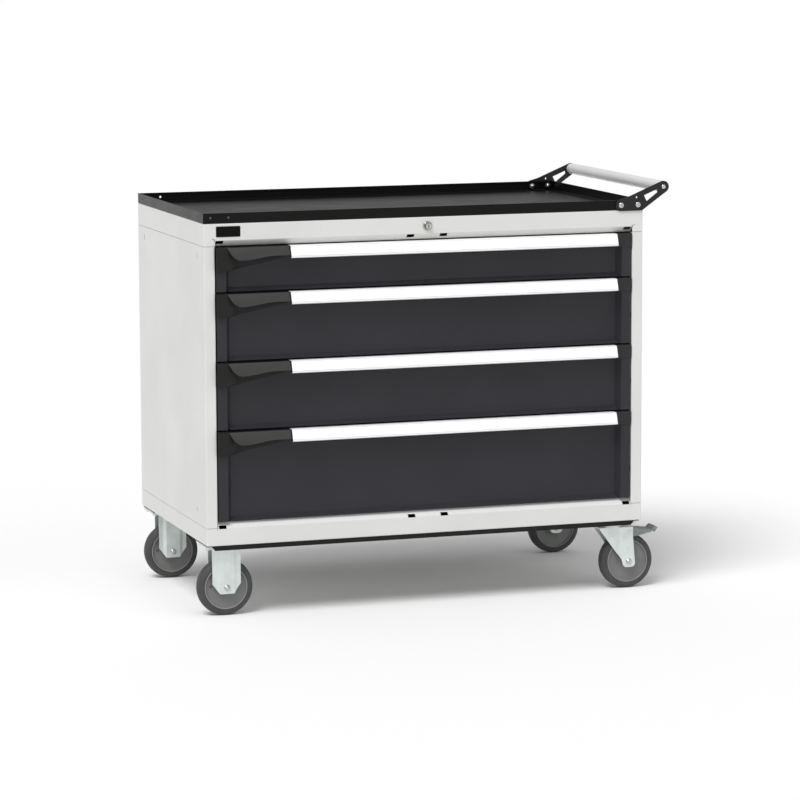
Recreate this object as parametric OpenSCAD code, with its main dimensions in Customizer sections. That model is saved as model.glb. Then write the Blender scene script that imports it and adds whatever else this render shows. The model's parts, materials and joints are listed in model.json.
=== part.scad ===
// Mobile workshop cabinet: a folded steel body with stacked drawers on two-stage slides,
// a tray top with a push handle, a central lock and four casters.
// Body frame while modelling: x = 0 at the left side, y = 0 at the front face, z = 0 under the body.

/* [Body] */
// Width of the steel body
body_w = 1012; // [800:1:1400]
// Depth of the steel body
body_d = 568; // [460:1:800]
// Thickness of the body sheet
sheet = 1.2; // [0.8:0.1:1.8]
// Outside radius of every bend in the body sheet
bend_r = 2.4; // [2:0.1:4]
// Width of the upright front stiles
stile_w = 25; // [20:0.5:40]
// Depth of the stile's inner return
stile_return = 18; // [14:0.5:24]
// Width of the side panel's return at the back
rear_return = 18; // [12:1:30]
// Height of the flat face of the bottom rail
bottom_rail_h = 38.5; // [30:0.5:60]
// Height of the flat face of the top rail
top_rail_h = 36.5; // [34:0.5:60]
// Height of the sloped edge of both rails
slope_h = 12.5; // [8:0.5:20]
// How far back the sloped edge runs
slope_back = 12; // [8:0.5:16]
// Open seam between the side panels and the cap or base
seam = 0.8; // [0.4:0.1:1.5]
// Width of the punched slots in the rails
rail_slot_w = 17; // [10:1:24]
// Height of the punched slots in the rails
rail_slot_h = 7; // [4:0.5:8]
// Distance of the inner rail slots from the middle
rail_slot_inner = 38; // [30:1:60]
// Width of the blank name plate
plate_w = 54; // [30:1:80]
// Height of the blank name plate
plate_h = 23; // [12:1:28]

/* [Drawers] */
// Height of one drawer module
module_h = 50; // [50:1:70]
// Modules of each drawer, from the lowest up
drawer_modules = [4, 3, 3, 2]; // [2:1:6]
// Gap between one front and the next
front_gap = 3; // [2:0.5:5]
// Gap between a front and the stile
side_gap = 2.5; // [2:0.5:4]
// Thickness of the drawer sheet
drawer_sheet = 1.2; // [0.8:0.1:1.6]
// Width of the raised strip at each end of a front
strip_w = 22; // [16:1:30]
// Depth of the recessed middle of a front
recess = 16; // [12:0.5:17]
// Width of the slanted return between strip and middle
recess_run = 10; // [6:0.5:16]
// Reach of the sloped lip along the foot of a front
foot_lip = 9; // [6:0.5:11]
// How far the pan stays below its module
pan_head_room = 24; // [20:1:40]

/* [Drawer pull] */
// Height of the sloped label face
pull_h = 25; // [22:0.5:30]
// How far the pull stands out of the body
pull_reach = 20; // [16:0.5:26]
// How far the top edge of the label face stands out
pull_top_reach = 9; // [6:0.5:12]
// Wall of the pull profile
pull_wall = 2; // [1.6:0.1:2.6]
// Width of the left end cap
left_cap_w = 162; // [120:1:200]
// Width of the right end cap
right_cap_w = 37; // [30:1:50]
// Thickness of the wall that closes the pull's right end
end_wall = 3; // [2:0.5:5]
// How far the rest of the right end cap stands out of the front
end_cap_t = 2; // [1.5:0.5:4]
// Height of the block at the outer end of the left cap
cap_block_h = 52; // [40:1:60]

/* [Slides] */
// Height of the runners inside the cabinet rails
runner_h = 37; // [30:1:40]
// Play between rail, runner and drawer rail
slide_play = 0.5; // [0.3:0.1:1]
// Height of the slide's middle above the foot of its module
slide_z = 30; // [28:1:36]
// Sheet of the slide profiles
slide_sheet = 1.4; // [1.2:0.1:2]

/* [Tray top] */
// Height of the tray's rim
rim_h = 22.5; // [18:0.5:40]
// Thickness of the tray sheet
tray_sheet = 1.5; // [1:0.1:2.5]
// Depth of the rim's folded hem
hem_h = 3.5; // [2:0.5:4]
// Width of the rim's foot, which the floor sheet meets
rim_foot = 5; // [4:0.5:12]

/* [Push handle] */
// Height of the grip tube's axis above the tray's underside
grip_up = 50; // [40:1:80]
// Distance of the grip tube's axis from the body's side
grip_out = 48; // [40:1:80]
// Diameter of the grip tube
grip_d = 25; // [20:1:32]
// Thickness of the handle brackets
bracket_t = 3; // [2:0.5:5]
// Distance between the two bracket bolts
bolt_pitch = 40; // [30:1:60]
// Distance of the outer bracket bolt from the body's side
bolt_in = 13; // [12:1:20]
// Height of the bracket bolts above the tray's underside
bolt_up = 11.5; // [10:0.5:12]

/* [Lock] */
// Diameter of the lock's front ring
lock_ring_d = 22; // [18:1:26]
// Diameter of the lock plug
plug_d = 13; // [10:0.5:14]
// How far the plug stands out of the body
plug_out = 9; // [5:0.5:12]
// Lift of the lock rod
lock_lift = 10; // [8:0.5:10]

/* [Casters] */
// Diameter of the wheels
wheel_d = 125; // [100:1:150]
// Width of the tyres
tyre_w = 32; // [28:1:40]
// Radial thickness of the tyres
tyre_t = 14; // [8:0.5:18]
// Gap between a wheel and the crown of its fork
wheel_room = 13; // [11:0.5:20]
// Distance of the caster axes from the body's sides
caster_in_x = 53; // [53:1:90]
// Distance of the caster axes from the body's front and back
caster_in_y = 54; // [54:1:90]
// Trail of the swivel casters
trail = 36; // [30:1:45]
// Side gap between a tyre and its fork
fork_gap = 1; // [0.8:0.1:4]
// Thickness of the fork sheet
fork_t = 3; // [2:0.5:4]
// Diameter of the axle sleeves
axle_d = 12; // [10:0.5:16]
// Distance of the brake pedal's tip from the wheel axis
pedal_reach = 79; // [74:1:90]

/* [Underframe] */
// Height of the underframe channels
channel_h = 12; // [10:0.5:20]
// Width of the underframe channels
channel_w = 90; // [88:1:100]
// Sheet of the underframe channels
channel_t = 2; // [1.5:0.1:2.5]

/* [Hidden] */

$fn = 48;
cut = 1;                 // how far a cutter runs past what it cuts
bend_steps = 4;          // flats in one bend
run_play = 0.05;         // radial play of a shaft in its bore
bolt_play = 0.25;        // radial play of a bolt in its hole
bolt_r = 4;              // M8 bolts throughout
bolt_head_r = 7.5;       // across the corners of an M8 hexagon
bolt_head_h = 5.3;
nut_h = 6;
caster_bolt_over = 7;    // how far the caster bolts stand out above the floor of the base pan

body_grey = [0.83, 0.83, 0.82];
anthracite = [0.20, 0.20, 0.22];
frame_black = [0.11, 0.11, 0.11];
plastic_black = [0.15, 0.15, 0.15];
zinc = [0.78, 0.81, 0.80];
label_white = [0.95, 0.95, 0.95];
tyre_grey = [0.27, 0.27, 0.27];
hub_grey = [0.45, 0.45, 0.45];

// Body heights
function sum_to(v, n) = n <= 0 ? 0 : v[n - 1] + sum_to(v, n - 1);
drawer_count = len(drawer_modules);
open_z0 = bottom_rail_h + slope_h;
open_h = module_h * sum_to(drawer_modules, drawer_count);
open_z1 = open_z0 + open_h;
body_h = open_z1 + slope_h + top_rail_h;
cap_skirt_h = top_rail_h + slope_h - 0.5;
mid_x = body_w / 2;

// Drawer places
function foot_z(k) = open_z0 + module_h * sum_to(drawer_modules, k);
function front_h(k) = module_h * drawer_modules[k] - front_gap;
function front_z(k) = foot_z(k) + front_gap / 2;
function head_z(k) = front_z(k) + front_h(k);
front_x0 = stile_w + side_gap;
front_x1 = body_w - front_x0;

// Slide profiles, counted from the body's side inwards
post_x = 14;                             // inner face of the uprights
post_y = stile_return + 4;
post_w = 30;
post_z0 = sheet + caster_bolt_over + 1;
rail_x1 = stile_w + 9;
runner_x0 = stile_w + 2;
runner_x1 = stile_w + 13;
drawer_rail_x0 = runner_x0 + slide_sheet + 2.2;
pan_x0 = stile_w + 17;
rail_half = runner_h / 2 + slide_play + slide_sheet;
drawer_rail_half = runner_h / 2 - slide_sheet - slide_play;
rail_y1 = body_d - 26;
pan_y0 = recess + drawer_sheet;
pan_y1 = body_d - 50;
runner_y0 = pan_y0 + 5;
runner_y1 = pan_y1 + 6;
pan_lift = 6;

// Thumb catch, on a pin between two lugs of each left cap
catch_y = 3;
catch_drop = 8;
catch_pin_r = 2;
catch_w = 66;
catch_gap = 0.3;
lug_t = 4;
lug_r = 4.5;
lug_in = 18;
function catch_lugs(x1) = [x1 - lug_in - catch_w - 2 * catch_gap - 2 * lug_t, x1 - lug_in];

// Lock places
lock_z = body_h - 20;
lock_bar_y = 30;
lock_bar_t = 3;
lock_bar_z0 = open_z1 + 4;
lock_bar_h = 10;
rod_x0 = body_w - stile_w + 3;
rod_w = 12;
rod_y0 = 5;
rod_t = 5;
hook_h = 6;
hook_up = 52;
hook_in = 9;
hook_free = 2;

// Tray and handle places
tray_z = body_h;
grip_x = body_w + grip_out;
grip_z = tray_z + grip_up;
grip_r = grip_d / 2;
bracket_end_r = grip_r + 0.5;
bolt_x = [body_w - bolt_in - bolt_pitch, body_w - bolt_in];
bolt_z = tray_z + bolt_up;
button_head_h = 4;

// Caster places
wheel_r = wheel_d / 2;
leg_step = 4;
fork_w = tyre_w + 2 * (fork_gap + fork_t + leg_step);
top_plate = [104, 80, 4];
plate_holes = [84, 60];
plate_z1 = -channel_t;
plate_z0 = plate_z1 - top_plate[2];
race_r = 25;
race_z = plate_z0 - 12;
crown_z1 = race_z - 2.5;
crown_t = 3.5;
crown_z0 = crown_z1 - crown_t;
caster_h = wheel_d + wheel_room - crown_z0;
axle_z = wheel_r - caster_h;
axle_r = axle_d / 2;
rim_r = wheel_r - tyre_t;
caster_x = [caster_in_x, body_w - caster_in_x];
caster_y = [caster_in_y, body_d - caster_in_y];
swivel_wheel_x = caster_x[1] + trail;
kingpin_r = 8;
leg_foot = 13;
leg_z0 = axle_z - leg_foot;
pedal_pin = [swivel_wheel_x + 3, crown_z0 - 6];
pedal_pin_r = 2.5;

// The row frame has its origin on the floor, under the middle of the whole object
object_x0 = min(0, caster_x[0] - wheel_r);
object_x1 = max(grip_x + bracket_end_r, swivel_wheel_x + pedal_reach);
object_y0 = -max(pull_reach, bracket_t + button_head_h, plug_out);
object_y1 = body_d + bracket_t + button_head_h;
row_shift = [-(object_x0 + object_x1) / 2, -(object_y0 + object_y1) / 2, caster_h];

// ---------- shared shapes ----------

module in_row_frame() translate(row_shift) children();

// Extrude a (y, z) outline along x
module along_x(x0, x1) translate([x0, 0, 0]) rotate([90, 0, 90]) linear_extrude(x1 - x0) children();

// Extrude an (x, z) outline along y
module along_y(y0, y1) translate([0, y1, 0]) rotate([90, 0, 0]) linear_extrude(y1 - y0) children();

module box_between(a, b) translate(a) cube(b - a);

module mirror_side() translate([body_w, 0, 0]) mirror([1, 0, 0]) children();

module both_sides() {
    children();
    mirror_side() children();
}

// A round bar along y
module bar_y(x, z, r, y0, y1) translate([x, y1, z]) rotate([90, 0, 0]) cylinder(r = r, h = y1 - y0);

// A hexagon bar along y
module hex_y(x, z, r, y0, y1) translate([x, y1, z]) rotate([90, 0, 0]) cylinder(r = r, h = y1 - y0, $fn = 6);

function unit(v) = v / norm(v);
function left_of(d) = [-d[1], d[0]];
function turned(v, a) = [v[0] * cos(a) - v[1] * sin(a), v[0] * sin(a) + v[1] * cos(a)];
function turn_of(a, b) = atan2(a[0] * b[1] - a[1] * b[0], a * b);
function on_circle(c, r, a) = c + r * [cos(a), sin(a)];
function arc(c, r, a0, a1, n = 6) = [for (k = [0:n]) on_circle(c, r, a0 + (a1 - a0) * k / n)];
function reversed(v) = [for (k = [len(v) - 1:-1:0]) v[k]];

// One bend of a folded sheet: the given line is face 0, and face 1 lies to its left
function bend(p, i, t, r, face) =
    let (d = unit(p[i] - p[i - 1]), a = turn_of(d, unit(p[i + 1] - p[i])), s = sign(a))
    let (line_r = s > 0 ? r : r - t, far_r = s > 0 ? r - t : r)
    let (c = p[i] - d * line_r * tan(abs(a) / 2) + left_of(d) * s * line_r)
    [for (k = [0:bend_steps]) c - s * turned(left_of(d), a * k / bend_steps) * (face == 0 ? line_r : far_r)];

// Outline of a sheet of thickness t folded along the line p, with outside bend radius r
function folded(p, t, r) =
    let (n = len(p) - 1)
    concat(
        [p[0]],
        [for (i = [1:n - 1]) each bend(p, i, t, r, 0)],
        [p[n], p[n] + left_of(unit(p[n] - p[n - 1])) * t],
        [for (i = [n - 1:-1:1]) each reversed(bend(p, i, t, r, 1))],
        [p[0] + left_of(unit(p[1] - p[0])) * t]
    );

// Rectangle with all four corners rounded
function round_rect(x0, y0, x1, y1, r) = concat(
    arc([x0 + r, y0 + r], r, 180, 270, bend_steps), arc([x1 - r, y0 + r], r, 270, 360, bend_steps),
    arc([x1 - r, y1 - r], r, 0, 90, bend_steps), arc([x0 + r, y1 - r], r, 90, 180, bend_steps));

// Rectangle with only its upper corners rounded
function round_top(x0, y0, x1, y1, r) = concat(
    [[x0, y0], [x1, y0]], arc([x1 - r, y1 - r], r, 0, 90, bend_steps),
    arc([x0 + r, y1 - r], r, 90, 180, bend_steps));

// Box from a to b with rounded upright and upper edges
module soft_block(a, b, r) intersection() {
    translate([0, 0, a[2]]) linear_extrude(b[2] - a[2]) polygon(round_rect(a[0], a[1], b[0], b[1], r));
    along_x(a[0], b[0]) polygon(round_top(a[1], a[2], b[1], b[2], r));
    along_y(a[1], b[1]) polygon(round_top(a[0], a[2], b[0], b[2], r));
}

// Shell of sheet t: a lid, open below
module lid_shell(a, b, t, r) difference() {
    soft_block(a, b, r);
    soft_block([a[0] + t, a[1] + t, a[2] - cut], [b[0] - t, b[1] - t, b[2] - t], r - t);
}

module upside_down(z) translate([0, 0, z]) mirror([0, 0, 1]) translate([0, 0, -z]) children();

// Shell of sheet t: a pan, open above
module pan_shell(a, b, t, r) upside_down((a[2] + b[2]) / 2) lid_shell(a, b, t, r);

// Tangent point on a circle, seen from p, on the side given by s
function tangent(p, c, r, s) =
    let (v = c - p, d = norm(v), a = atan2(v[1], v[0]) + s * asin(r / d))
    p + sqrt(d * d - r * r) * [cos(a), sin(a)];
function angle_at(c, p) = atan2(p[1] - c[1], p[0] - c[0]);

// ---------- body ----------

rail_slot_x = let (outer = mid_x - stile_w - 3 - rail_slot_w / 2)
    [mid_x - outer, mid_x - rail_slot_inner, mid_x + rail_slot_inner, mid_x + outer];

module rail_slots(z0) for (x = rail_slot_x)
    box_between([x - rail_slot_w / 2, -cut, z0], [x + rail_slot_w / 2, slope_back, z0 + rail_slot_h]);

// The side panel: rear return, side, stile and stile return in one folded sheet
module side_panel() {
    slot_w = 4;
    slot_h = 12;
    z0 = bottom_rail_h + seam;
    z1 = body_h - cap_skirt_h - seam;
    difference() {
        translate([0, 0, z0]) linear_extrude(z1 - z0) polygon(folded([
            [rear_return, body_d], [0, body_d], [0, 0], [stile_w, 0], [stile_w, stile_return]
        ], sheet, bend_r));
        for (y = [caster_y[0], body_d - 59])
            box_between([-cut, y - slot_w / 2, z1 - 29], [sheet + cut, y + slot_w / 2, z1 - 29 + slot_h]);
        box_between([-cut, 73, z0 + 28], [sheet + cut, 73 + slot_w, z0 + 28 + slot_h - 3]);
    }
}

module left_side_panel() color(body_grey) in_row_frame() side_panel();

module right_side_panel() color(body_grey) in_row_frame() difference() {
    mirror_side() side_panel();
    for (k = [0:drawer_count - 1])
        box_between([body_w - stile_w - cut, rod_y0 - 1.5, foot_z(k) + hook_up - hook_free],
                    [body_w - stile_w + sheet + cut, rod_y0 + rod_t + 1.5,
                     foot_z(k) + hook_up + hook_h + lock_lift + hook_free]);
}

module back_panel() {
    edge = bend_r + 0.4;
    color(body_grey) in_row_frame()
        box_between([edge, body_d - 2 * sheet, edge], [body_w - edge, body_d - sheet, body_h - edge]);
}

// The sloped edge of a rail with its inner flange, from the face at z_face to the opening at z_open
module rail_edge(z_face, z_open) {
    s = sign(z_open - z_face);
    line = [[slope_back + 10, z_open], [slope_back, z_open], [0, z_face], [0, z_face - s * 8]];
    along_x(stile_w + 1, body_w - stile_w - 1) polygon(folded(s > 0 ? line : reversed(line), sheet, bend_r));
}

module top_cap() color(body_grey) in_row_frame() {
    z0 = body_h - cap_skirt_h;
    z_face = body_h - top_rail_h;
    slit_r = 8;
    slit_w = 1;
    slit = [stile_w + slit_w - slit_r, z_face - 3.5];
    difference() {
        union() {
            difference() {
                lid_shell([0, 0, z0], [body_w, body_d, body_h], sheet, bend_r);
                box_between([stile_w, -cut, z0 - cut], [body_w - stile_w, slope_back, z_face + 4]);
                both_sides() along_y(-cut, sheet + cut) intersection() {
                    polygon(concat(arc(slit, slit_r, 0, 80), reversed(arc(slit, slit_r - slit_w, 0, 80))));
                    translate([stile_w - slit_r, z_face - slit_r]) square(3 * slit_r);
                }
            }
            rail_edge(z_face, open_z1);
        }
        rail_slots(z_face - rail_slot_h - 0.5);
        bar_y(mid_x, lock_z, plug_d / 2 + 2.5 + bolt_play, -cut, sheet + cut);
    }
}

module caster_bolt_places() for (x = caster_x, y = caster_y, i = [-1, 1], j = [-1, 1])
    translate([x + i * plate_holes[0] / 2, y + j * plate_holes[1] / 2, 0]) children();

module base_pan() color(body_grey) in_row_frame() {
    difference() {
        union() {
            difference() {
                pan_shell([0, 0, 0], [body_w, body_d, bottom_rail_h], sheet, bend_r);
                box_between([stile_w, -cut, bottom_rail_h - 4],
                            [body_w - stile_w, slope_back, bottom_rail_h + cut]);
            }
            rail_edge(bottom_rail_h, open_z0);
        }
        rail_slots(bottom_rail_h - 1.5);
        caster_bolt_places() translate([0, 0, -cut]) cylinder(r = bolt_r + bolt_play, h = sheet + 2 * cut);
    }
}

// Uprights that carry the slides, one behind each corner
module slide_uprights() color(zinc) in_row_frame() both_sides()
    for (y = [post_y, rail_y1 - post_w])
        translate([0, 0, post_z0]) linear_extrude(body_h - bend_r - 0.3 - post_z0) polygon(folded([
            [post_x, y + post_w], [sheet, y + post_w], [sheet, y], [post_x, y]
        ], slide_sheet, bend_r));

module cabinet_rails() color(zinc) in_row_frame() both_sides()
    for (k = [0:drawer_count - 1])
        translate([0, 0, foot_z(k) + slide_z]) along_y(post_y, rail_y1) polygon(folded([
            [rail_x1, rail_half], [post_x, rail_half], [post_x, -rail_half], [rail_x1, -rail_half]
        ], slide_sheet, bend_r));

module name_plate() color(plastic_black) in_row_frame() {
    x0 = stile_w + 3;
    z0 = lock_z - 9;
    along_y(-1, 0) polygon(round_rect(x0, z0, x0 + plate_w, z0 + plate_h, 1.5));
}

// Channels across the underside, open below, with bevelled flange ends
module underframe() {
    y0 = caster_y[0] - channel_w / 2;
    y1 = y0 + channel_w;
    web_end = 2;
    flange_end = 14;
    bevel = 8;
    color(frame_black) in_row_frame() difference() {
        for (far = [0, 1])
            translate([0, far * body_d, 0]) mirror([0, far, 0])
                along_x(web_end, body_w - web_end)
                    polygon(folded([[y1, -channel_h], [y1, 0], [y0, 0], [y0, -channel_h]], channel_t, 3));
        both_sides() along_y(-cut, body_d + cut) polygon([
            [-cut, -channel_t - 1], [flange_end, -channel_t - 1], [flange_end + bevel, -channel_h - cut],
            [-cut, -channel_h - cut]
        ]);
        caster_bolt_places() translate([0, 0, -channel_t - cut])
            cylinder(r = bolt_r + bolt_play, h = channel_t + 2 * cut);
    }
}

// ---------- tray and push handle ----------

module bracket_bolt_bores() for (x = bolt_x)
    bar_y(x, bolt_z, bolt_r + bolt_play, -bracket_t - cut, body_d + bracket_t + cut);

module worktop_sheet() color(frame_black) in_row_frame()
    box_between([rim_foot, rim_foot, tray_z], [body_w - rim_foot, body_d - rim_foot, tray_z + tray_sheet]);

// Folded rim, with a hem above and a narrow foot round the floor sheet
module tray_rim() color(frame_black) in_row_frame() {
    lip = 2 * tray_sheet;
    rim_z = tray_z + rim_h;
    difference() {
        union() {
            pan_shell([0, 0, tray_z], [body_w, body_d, rim_z], tray_sheet, bend_r + 0.6);
            difference() {
                translate([0, 0, rim_z - hem_h]) linear_extrude(hem_h)
                    polygon(round_rect(0, 0, body_w, body_d, bend_r + 0.6));
                translate([0, 0, rim_z - hem_h - cut]) linear_extrude(hem_h + 2 * cut)
                    polygon(round_rect(lip, lip, body_w - lip, body_d - lip, 1));
            }
        }
        box_between([rim_foot, rim_foot, tray_z - cut], [body_w - rim_foot, body_d - rim_foot, rim_z]);
        bracket_bolt_bores();
        for (x = [16, 56]) bar_y(x, bolt_z + 1, 2.5, -cut, tray_sheet + cut);
        bar_y(53, bolt_z + 1, 2.5, body_d - tray_sheet - cut, body_d + cut);
        for (y = [52, body_d - 48])
            translate([-cut, y, bolt_z + 1]) rotate([0, 90, 0]) cylinder(r = 1.6, h = tray_sheet + 2 * cut);
    }
}

// Outline of a handle bracket in (x, z): a foot round the first bolt, and an arm up to the grip
function bracket_outline() =
    let (a = [bolt_x[0], bolt_z], foot_r = 13, g = [grip_x, grip_z])
    let (heel = [body_w - 3, bolt_z - foot_r], neck = [bolt_x[0] + 17, bolt_z + 18])
    let (g0 = tangent(heel, g, bracket_end_r, -1), g1 = tangent(neck, g, bracket_end_r, 1))
    let (a1 = tangent(neck, a, foot_r, -1))
    concat(
        [heel],
        arc(g, bracket_end_r, angle_at(g, g0), angle_at(g, g1), 10),
        [neck],
        arc(a, foot_r, angle_at(a, a1), 270, 10)
    );

module bracket(y0, y1) {
    hole = [bolt_x[1] - 3, bolt_z + 16.5];
    window = [[body_w + 1.5, tray_z + 32], [body_w + 8, tray_z + 18.5], [body_w + 34, tray_z + 38],
              [body_w + 33, tray_z + 45]];
    color(frame_black) in_row_frame() difference() {
        along_y(y0, y1) polygon(bracket_outline());
        along_y(y0 - cut, y1 + cut) polygon(window);
        bar_y(hole[0], hole[1], 2.2, y0 - cut, y1 + cut);
        bar_y(grip_x, grip_z, bolt_r + bolt_play, y0 - cut, y1 + cut);
        bracket_bolt_bores();
    }
}

module front_handle_bracket() bracket(-bracket_t, 0);

module rear_handle_bracket() bracket(body_d, body_d + bracket_t);

module grip_tube() color(label_white) in_row_frame() {
    plug = 30;
    difference() {
        bar_y(grip_x, grip_z, grip_r, 0, body_d);
        bar_y(grip_x, grip_z, bolt_r, -cut, plug);
        bar_y(grip_x, grip_z, bolt_r, body_d - plug, body_d + cut);
        bar_y(grip_x, grip_z, grip_r - 2, plug, body_d - plug);
    }
}

// Button head screws through the brackets, with domed nuts inside the tray, and the grip's end screws
module handle_bolts() for (far = [0, 1])
    translate([0, far * body_d, 0]) mirror([0, far, 0]) {
        for (x = bolt_x) {
            bar_y(x, bolt_z, bolt_head_r - 1, -bracket_t - button_head_h, -bracket_t);
            bar_y(x, bolt_z, bolt_r, -bracket_t, tray_sheet + 6);
            hex_y(x, bolt_z, bolt_head_r - 1, tray_sheet, tray_sheet + 6);
            bar_y(x, bolt_z, bolt_head_r - 2.5, tray_sheet + 6, tray_sheet + 10);
        }
        bar_y(grip_x, grip_z, bolt_r + 1, -bracket_t - button_head_h + 1, -bracket_t);
        bar_y(grip_x, grip_z, bolt_r - 0.1, -bracket_t, 20);
    }

// Hexagon screws from below, with nuts inside the base pan
module caster_bolts() caster_bolt_places() {
    translate([0, 0, plate_z0 - bolt_head_h]) cylinder(r = bolt_head_r, h = bolt_head_h, $fn = 6);
    translate([0, 0, plate_z0]) cylinder(r = bolt_r, h = -plate_z0 + sheet + caster_bolt_over);
    translate([0, 0, sheet]) cylinder(r = bolt_head_r, h = nut_h, $fn = 6);
}

module frame_bolts() color(zinc) in_row_frame() {
    handle_bolts();
    caster_bolts();
}

// ---------- lock ----------

module lock_housing() color(zinc) in_row_frame() difference() {
    union() {
        bar_y(mid_x, lock_z, lock_ring_d / 2, -3, 0);
        bar_y(mid_x, lock_z, plug_d / 2 + 2.5, 0, 24);
    }
    bar_y(mid_x, lock_z, plug_d / 2 + run_play, -3 - cut, 24 + cut);
}

// The plug with its key slot, and the cam on its inner end
module lock_plug() color(zinc) in_row_frame() {
    cam_y = 25;
    difference() {
        union() {
            bar_y(mid_x, lock_z, plug_d / 2, -plug_out, cam_y);
            along_y(cam_y, cam_y + 3) polygon(concat(
                arc([mid_x, lock_z], 6, 0, 180), arc([mid_x, lock_z - 11], 3, 180, 360)));
        }
        box_between([mid_x - 1, -plug_out - cut, lock_z - 4.2], [mid_x + 1, -plug_out + 6, lock_z + 4.2]);
    }
}

// Flat bar behind the top rail, with an ear that the cam pushes
module lock_bar() color(zinc) in_row_frame() {
    ear_x = mid_x + 8;
    bar_x1 = body_w - post_x - 4;
    box_between([mid_x - 26, lock_bar_y, lock_bar_z0],
                [bar_x1, lock_bar_y + lock_bar_t, lock_bar_z0 + lock_bar_h]);
    box_between([ear_x, lock_bar_y - 6, lock_bar_z0], [ear_x + 3, lock_bar_y, lock_bar_z0 + 16]);
}

// Upright rod behind the right stile, with one hook for each drawer
module lock_rod() color(zinc) in_row_frame() {
    box_between([rod_x0, rod_y0, open_z0 + 8], [rod_x0 + rod_w, rod_y0 + rod_t, open_z1 - lock_lift]);
    for (k = [0:drawer_count - 1])
        box_between([rod_x0 - hook_in, rod_y0, foot_z(k) + hook_up],
                    [rod_x0, rod_y0 + rod_t, foot_z(k) + hook_up + hook_h]);
}

// ---------- drawers ----------

// Deep-drawn pan with divider slots and a rail welded to each side
module drawer_pan(k) color(anthracite) in_row_frame() {
    z0 = foot_z(k) + pan_lift;
    z1 = z0 + module_h * drawer_modules[k] - pan_head_room - pan_lift;
    slot_w = 4;
    slot_h = 20;
    slots = 9;
    pitch = (pan_y1 - pan_y0) / (slots + 1);
    difference() {
        pan_shell([pan_x0, pan_y0, z0], [body_w - pan_x0, pan_y1, z1], drawer_sheet, bend_r);
        for (i = [1:slots])
            box_between([pan_x0 - cut, pan_y0 + i * pitch - slot_w / 2, z1 - slot_h - 8],
                        [body_w - pan_x0 + cut, pan_y0 + i * pitch + slot_w / 2, z1 - 8]);
    }
    both_sides() translate([0, 0, foot_z(k) + slide_z]) along_y(pan_y0, pan_y1) polygon(folded([
        [drawer_rail_x0, -drawer_rail_half], [pan_x0, -drawer_rail_half],
        [pan_x0, drawer_rail_half], [drawer_rail_x0, drawer_rail_half]
    ], slide_sheet, bend_r));
}

// The front: one folded sheet with raised end strips, a recessed middle and a sloped foot lip
module drawer_front(k) color(anthracite) in_row_frame() {
    z0 = front_z(k);
    z1 = head_z(k);
    inner0 = front_x0 + strip_w;
    inner1 = front_x1 - strip_w;
    hook_z = foot_z(k) + hook_up;
    difference() {
        translate([0, 0, z0]) linear_extrude(z1 - z0) polygon(folded([
            [front_x0, stile_return], [front_x0, 0], [inner0, 0], [inner0 + recess_run, recess],
            [inner1 - recess_run, recess], [inner1, 0], [front_x1, 0], [front_x1, stile_return]
        ], drawer_sheet, bend_r));
        box_between([front_x1 - drawer_sheet - cut, rod_y0 - 2, hook_z - hook_free],
                    [front_x1 + cut, stile_return + cut, hook_z + hook_h + hook_free]);
        box_between([front_x1 - drawer_sheet - cut, rod_y0 - 2, hook_z + hook_h],
                    [front_x1 + cut, rod_y0 + rod_t + 1, hook_z + hook_h + lock_lift + hook_free]);
    }
    along_x(inner0 + recess_run - 4, inner1 - recess_run + 4) polygon([
        [recess + drawer_sheet / 2, z0 + foot_lip], [recess - foot_lip - 2, z0],
        [recess - foot_lip, z0], [recess + drawer_sheet / 2, z0 + foot_lip - 2.2]
    ]);
}

// Corners of the pull's section in (y, z), from the foot of its back flange round to its lower lip
function pull_line(z) = [
    [recess, z - 14], [recess, z - 1], [-pull_top_reach, z - 1],
    [-pull_reach + 1, z - 1 - pull_h], [-pull_reach + 6, z - 3 - pull_h]
];

// Extruded pull with a label channel between two fine ribs
module pull_profile(k) color(label_white) in_row_frame() {
    x0 = front_x0 + left_cap_w;
    x1 = front_x1 - right_cap_w;
    p = pull_line(head_z(k));
    slope = unit(p[3] - p[2]);
    rib = 1.6;
    along_x(x0, x1) polygon(folded(p, pull_wall, 3));
    along_x(x0, x1) for (a = [p[2] + slope * 2, p[3] - slope * (rib + 2)])
        polygon([a - left_of(slope), a - left_of(slope) + slope * rib, a + slope * rib + left_of(slope),
                 a + left_of(slope)]);
}

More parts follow.
